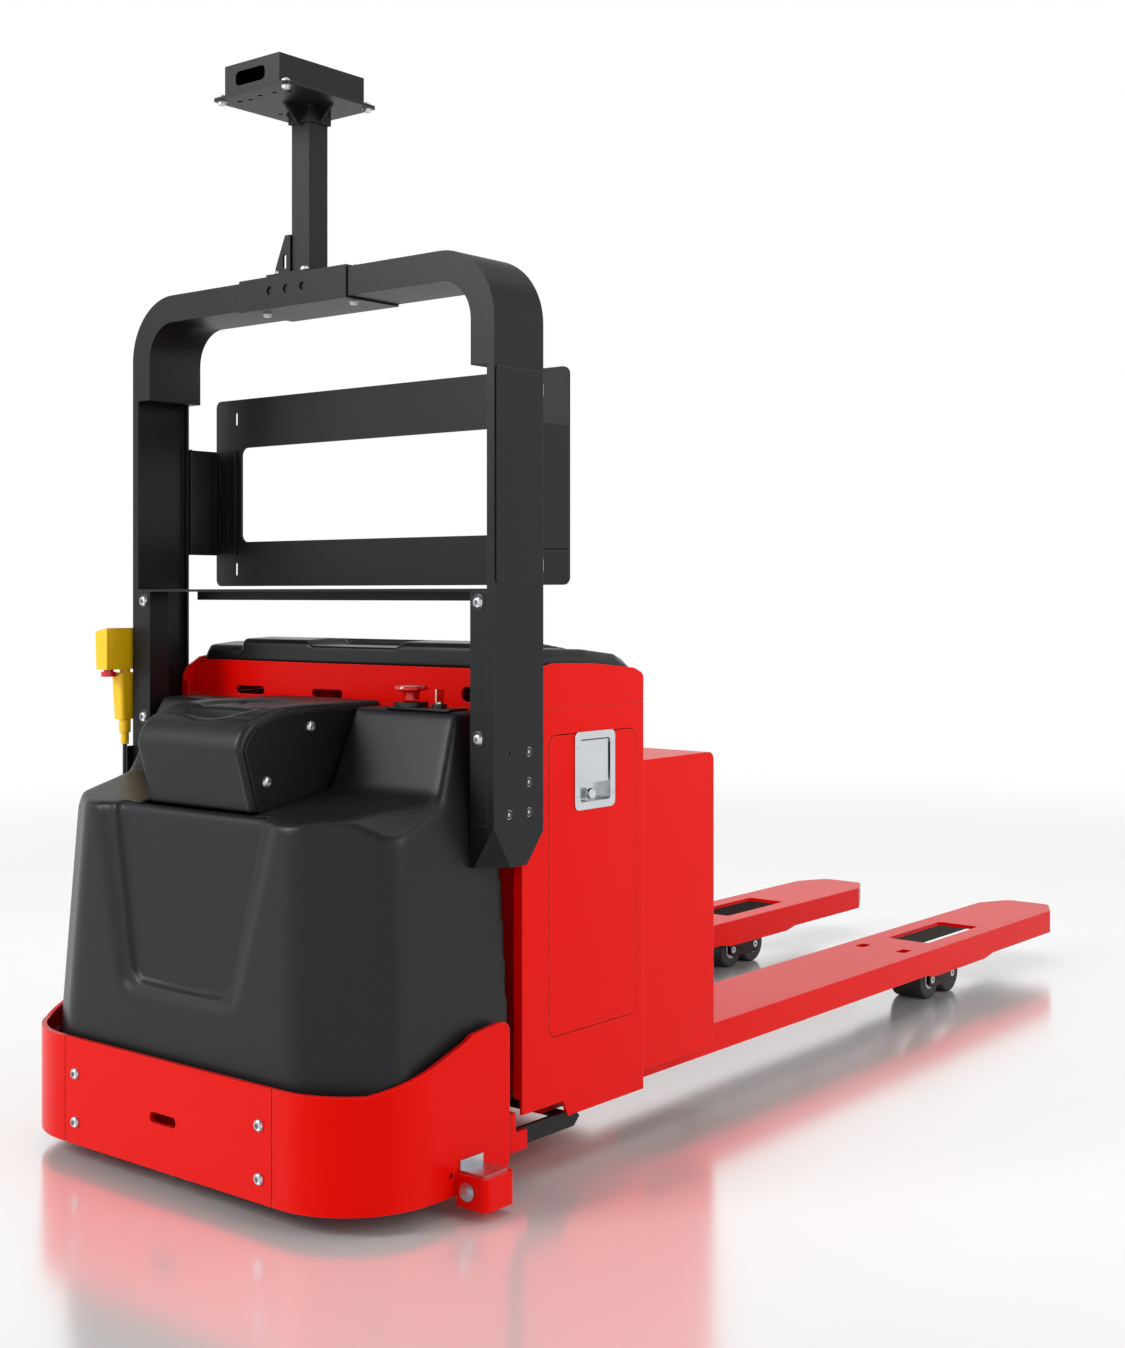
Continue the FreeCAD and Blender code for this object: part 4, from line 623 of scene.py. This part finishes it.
def buildLegScrews():
    # cap screws that hold the frame's ears inside the portal's feet
    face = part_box("portal_right")[1][0] - mm(legScrews["sunk"])
    spots = []
    for side in (-1, 1):
        for y, z in legScrews["rows"]:
            spots.append(((side * face, along(y), mm(z)), (side, 0, 0)))
    turnedSet("legScrews", resized(capHead, legScrews["width"], 1), spots, "switchNylon",
              "chassis")
    # a bright ring round each hole as a painted highlight for the glint on its edge, but for the
    # small one at the front and top
    smallY, smallZ = legScrews["rows"][-1]
    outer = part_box("portal_right")[1][0] - mm(legScrews["rimSink"])
    glintRings = []
    for place, way in spots:
        if place[1] != along(smallY) or place[2] != mm(smallZ):
            glintRings.append(((way[0] * outer, place[1], place[2]), way))
    turnedSet("legScrewGlintRings", glintRingProfile, glintRings, "zincPlate", "chassis", steps=32)


cornerSteps = 4
sharpCorner = 60      # degrees; edges sharper than this are broken


def platePiece(name, outline, place, thickness, finish, body, roundingMm, edgeMm=0.8):
    # a flat plate in the YZ plane, with round corners and broken edges
    work = bmesh.new()
    corners = []
    count = len(outline)
    for index in range(count):
        here = Vector(outline[index])
        before = (Vector(outline[index - 1]) - here).normalized()
        after = (Vector(outline[(index + 1) % count]) - here).normalized()
        start = here + before * mm(roundingMm)
        end = here + after * mm(roundingMm)
        for step in range(cornerSteps + 1):
            share = step / cornerSteps
            point = start.lerp(here, share).lerp(here.lerp(end, share), share)
            corners.append(work.verts.new((place, point.x, point.y)))
    face = work.faces.new(corners)
    out = bmesh.ops.extrude_face_region(work, geom=[face])
    moved = [g for g in out["geom"] if isinstance(g, bmesh.types.BMVert)]
    bmesh.ops.translate(work, verts=moved, vec=(thickness, 0, 0))
    bmesh.ops.recalc_face_normals(work, faces=work.faces)
    sharp = [e for e in work.edges if e.calc_face_angle(0) > math.radians(sharpCorner)]
    bmesh.ops.bevel(work, geom=sharp, offset=mm(edgeMm), segments=2, affect="EDGES")
    return addPiece(name, finishMesh(work, name), finish, body)


legPlates = {"low": 887, "high": 1197, "front": 265, "back": 369, "thick": 4, "sink": 1,
             "corner": 6}


def buildLegPlates():
    # doubler plates on the outside of the portal's legs
    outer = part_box("portal_right")[1][0] - mm(legPlates["sink"])
    front, back = along(legPlates["front"]), along(legPlates["back"])
    bottom, top = mm(legPlates["low"]), mm(legPlates["high"])
    outline = [(front, bottom), (back, bottom), (back, top), (front, top)]
    for side, label in ((1, "Right"), (-1, "Left")):
        platePiece("legPlate" + label, outline, side * outer, side * mm(legPlates["thick"]),
                   "blackPowderCoat", "chassis", legPlates["corner"])


# mushroom head: stem, undercut, rim and dome
stopButton = [(12.5, 0, "round"), (12.5, 9, "round"), (15, 13, "round"), (24.6, 14.5, "round"),
              (26, 15.6, "round"), (26, 17.6, "round"), (24.4, 20.2, "round"),
              (17, 21.8, "round"), (6, 22.3, "round")]


def buildStop():
    low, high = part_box("estop_button")
    x, y = (low[0] + high[0]) / 2, (low[1] + high[1]) / 2
    base = high[2] - mm(stopButton[-1][1])
    button = turnedSet("stopMushroom", stopButton, [((x, y, base), (0, 0, 1))], "glossRedAbs",
                       "emergency_stop", steps=48)
    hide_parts("estop_button")


latchDetail = {"barrelDrop": 38, "barrelSink": 3, "rivetAside": 44, "rivetRise": 38,
               "rivetSink": 0.4}
# lock cylinder with a sunk face
keyBarrel = [(8.5, 0, "round"), (8.5, 5.4, "round"), (7.6, 6.2, "round"), (5.2, 6.2, "round"),
             (4.8, 5.4, "round")]
# low domed rivet
rivetHead = [(2.6, 0, "round"), (2.3, 0.9, "round"), (1.2, 1.4, "round")]


def buildLatch():
    # the key barrel in the latch's well, and a rivet at each corner of its plate
    low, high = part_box("latch_plate")
    middle = (low + high) / 2
    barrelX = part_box("latch_paddle")[0][0] - mm(latchDetail["barrelSink"])
    barrelZ = middle.z - mm(latchDetail["barrelDrop"])
    turnedSet("latchBarrel", keyBarrel, [((barrelX, middle.y, barrelZ), (1, 0, 0))],
              "brushedStainless", "door", steps=36)
    rivetX = high.x - mm(latchDetail["rivetSink"])
    spots = []
    for sideways in (-1, 1):
        for upward in (-1, 1):
            spots.append(((rivetX, middle.y + sideways * mm(latchDetail["rivetAside"]),
                           middle.z + upward * mm(latchDetail["rivetRise"])), (1, 0, 0)))
    turnedSet("latchRivets", rivetHead, spots, "nickelPlate", "door", steps=16)


forkDetail = {"boltAside": 48, "boltBehind": 19, "boltDrop": 16}


def buildForkDetail():
    # the nuts on the load arms show in the small windows of each fork
    for label in ("right", "left"):
        low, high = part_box("fork_" + label)
        middle = (low[0] + high[0]) / 2
        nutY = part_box("load_arm_" + label)[0][1] + mm(forkDetail["boltBehind"])
        nutZ = high[2] - mm(forkDetail["boltDrop"])
        aside = mm(forkDetail["boltAside"])
        spots = [((middle + way * aside, nutY, nutZ), (0, 0, 1)) for way in (-1, 1)]
        turnedSet("pivotBolts" + label.title(), hexNut, spots, "zincPlate", "arm_" + label,
                  steps=36)


# stepped face of a roller's hub, with its bearing seal
wheelHub = [(21, 0, "round"), (21, 0.6, "round"), (19.6, 1.2, "round"), (15.5, 1.2, "round"),
            (14.6, 0.3, "round"), (12, 0.3, "round"), (11.5, 1.2, "round"), (9.4, 1.2, "round")]


# each ring and head starts this far inside the face it sits on, in mm
wheelDetail = {"seat": 0.2, "boltWidth": 0.95, "boltRise": 0.1}


def faceSpots(low, high, y, z):
    # the two places where an axis along X leaves a box, and the ways they point
    seat = mm(wheelDetail["seat"])
    return [((high[0] - seat, y, z), (1, 0, 0)), ((low[0] + seat, y, z), (-1, 0, 0))]


def buildWheelDetail():
    # low heads on the axles, which pass between the bogie and the arm's cheeks
    bolt = resized(buttonHead, wheelDetail["boltWidth"], wheelDetail["boltRise"])
    for label in ("right", "left"):
        bogieLow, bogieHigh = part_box("bogie_" + label)
        spots = []
        for end in ("front", "rear"):
            place = end + "_" + label
            low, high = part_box("load_roller_" + place)
            y, z = (low[1] + high[1]) / 2, (low[2] + high[2]) / 2
            turnedSet("hub_" + place, wheelHub, faceSpots(low, high, y, z), "zincPlate",
                      "roller_" + place, steps=40)
            spots += faceSpots(bogieLow, bogieHigh, y, z)
        turnedSet("bogieBolts_" + label, bolt, spots, "zincPlate", "bogie_body_" + label)


# in mm; the bends are where the control points sit, from the top and from the foot
pendantCable = {"diameter": 8, "length": 60, "topBend": 15, "footBends": (25, 10)}


def buildCable():
    low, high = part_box("pendant_cable")
    x, y = (low[0] + high[0]) / 2, (low[1] + high[1]) / 2
    curve = bpy.data.curves.new("pendantCable", "CURVE")
    curve.dimensions = "3D"
    curve.bevel_depth = 1.0   # the points' radius sets the thickness, and keeps the box true
    curve.bevel_resolution = 6
    spline = curve.splines.new("NURBS")
    levels = [high[2], high[2] - mm(pendantCable["topBend"])]
    levels += [low[2] + mm(rise) for rise in pendantCable["footBends"]] + [low[2]]
    spline.points.add(len(levels) - 1)
    for point, z in zip(spline.points, levels):
        point.co = (x, y, z, 1)
        point.radius = mm(pendantCable["diameter"]) / 2
    spline.order_u = 3
    spline.use_endpoint_u = True
    curve.resolution_u = 12
    cable = bpy.data.objects.new("pendantCable", curve)
    bpy.context.scene.collection.objects.link(cable)
    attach(cable, "chassis")
    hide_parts("pendant_cable")
    return cable


def fadeFloor(material):
    # far from the truck the lacquer runs out into the white cyclorama
    tree = material.node_tree
    out = next(n for n in tree.nodes if n.type == "OUTPUT_MATERIAL")
    shader = next(n for n in tree.nodes if n.type == "BSDF_PRINCIPLED")
    coord = addNode(tree, "ShaderNodeTexCoord")
    reach = addNode(tree, "ShaderNodeVectorMath", {"operation": "LENGTH"}, {0: (coord, "Object")})
    near, far = studio["floorFade"]
    fade = addNode(tree, "ShaderNodeMapRange",
                   {"interpolation_type": "SMOOTHSTEP", "From Min": near, "From Max": far},
                   {"Value": (reach, "Value")})
    glow = addNode(tree, "ShaderNodeEmission", {"Color": (1, 1, 1, 1), "Strength": 1.0})
    mix = addNode(tree, "ShaderNodeMixShader", None,
                  {0: (fade, "Result"), 1: (shader, "BSDF"), 2: (glow, "Emission")})
    tree.links.new(mix.outputs["Shader"], out.inputs["Surface"])


def addFloor():
    size = studio["floorSize"] / 2
    mesh = bpy.data.meshes.new("studioFloor")
    mesh.from_pydata([(-size, -size, 0), (size, -size, 0), (size, size, 0), (-size, size, 0)], [],
                     [(0, 1, 2, 3)])
    floor = bpy.data.objects.new("studioFloor", mesh)
    bpy.context.scene.collection.objects.link(floor)
    fadeFloor(surfaces["lacqueredFloor"])
    mesh.materials.append(surfaces["lacqueredFloor"])


def lightSky():
    # a white cyclorama all round, falling off to a darker ceiling
    world = bpy.data.worlds.new("studioSky")
    bpy.context.scene.world = world
    world.use_nodes = True
    tree = world.node_tree
    back = tree.nodes["Background"]
    coord = addNode(tree, "ShaderNodeTexCoord")
    split = addNode(tree, "ShaderNodeSeparateXYZ", None, {0: (coord, "Generated")})
    low, high = studio["skyFade"]
    fade = addNode(tree, "ShaderNodeMapRange",
                   {"interpolation_type": "SMOOTHSTEP", "From Min": low, "From Max": high,
                    "To Min": studio["horizonGlow"], "To Max": studio["zenithGlow"]},
                   {"Value": (split, "Z")})
    back.inputs["Color"].default_value = (1, 1, 1, 1)
    tree.links.new(fade.outputs["Result"], back.inputs["Strength"])


setCamera()
cable = buildCable()
for lampRow in studio["lamps"]:
    addLamp(*lampRow)
print("stage: camera, cable and lamps")
for finishName, finishSpec in finishes.items():
    buildSurface(finishName, finishSpec)
cable.data.materials.append(surfaces["pvcJacket"])
coatNodes()
addFloor()
lightSky()
print("stage: materials, floor and sky")
buildCover()
buildHood()
buildLid()
print("stage: mouldings")
buildScrews()
buildLegScrews()
buildLegPlates()
buildStop()
buildLatch()
buildForkDetail()
buildWheelDetail()
print("stage: fasteners, plates, stop, latch and wheels")
bpy.context.scene.view_settings.view_transform = "Standard"

bpy.context.view_layer.update()
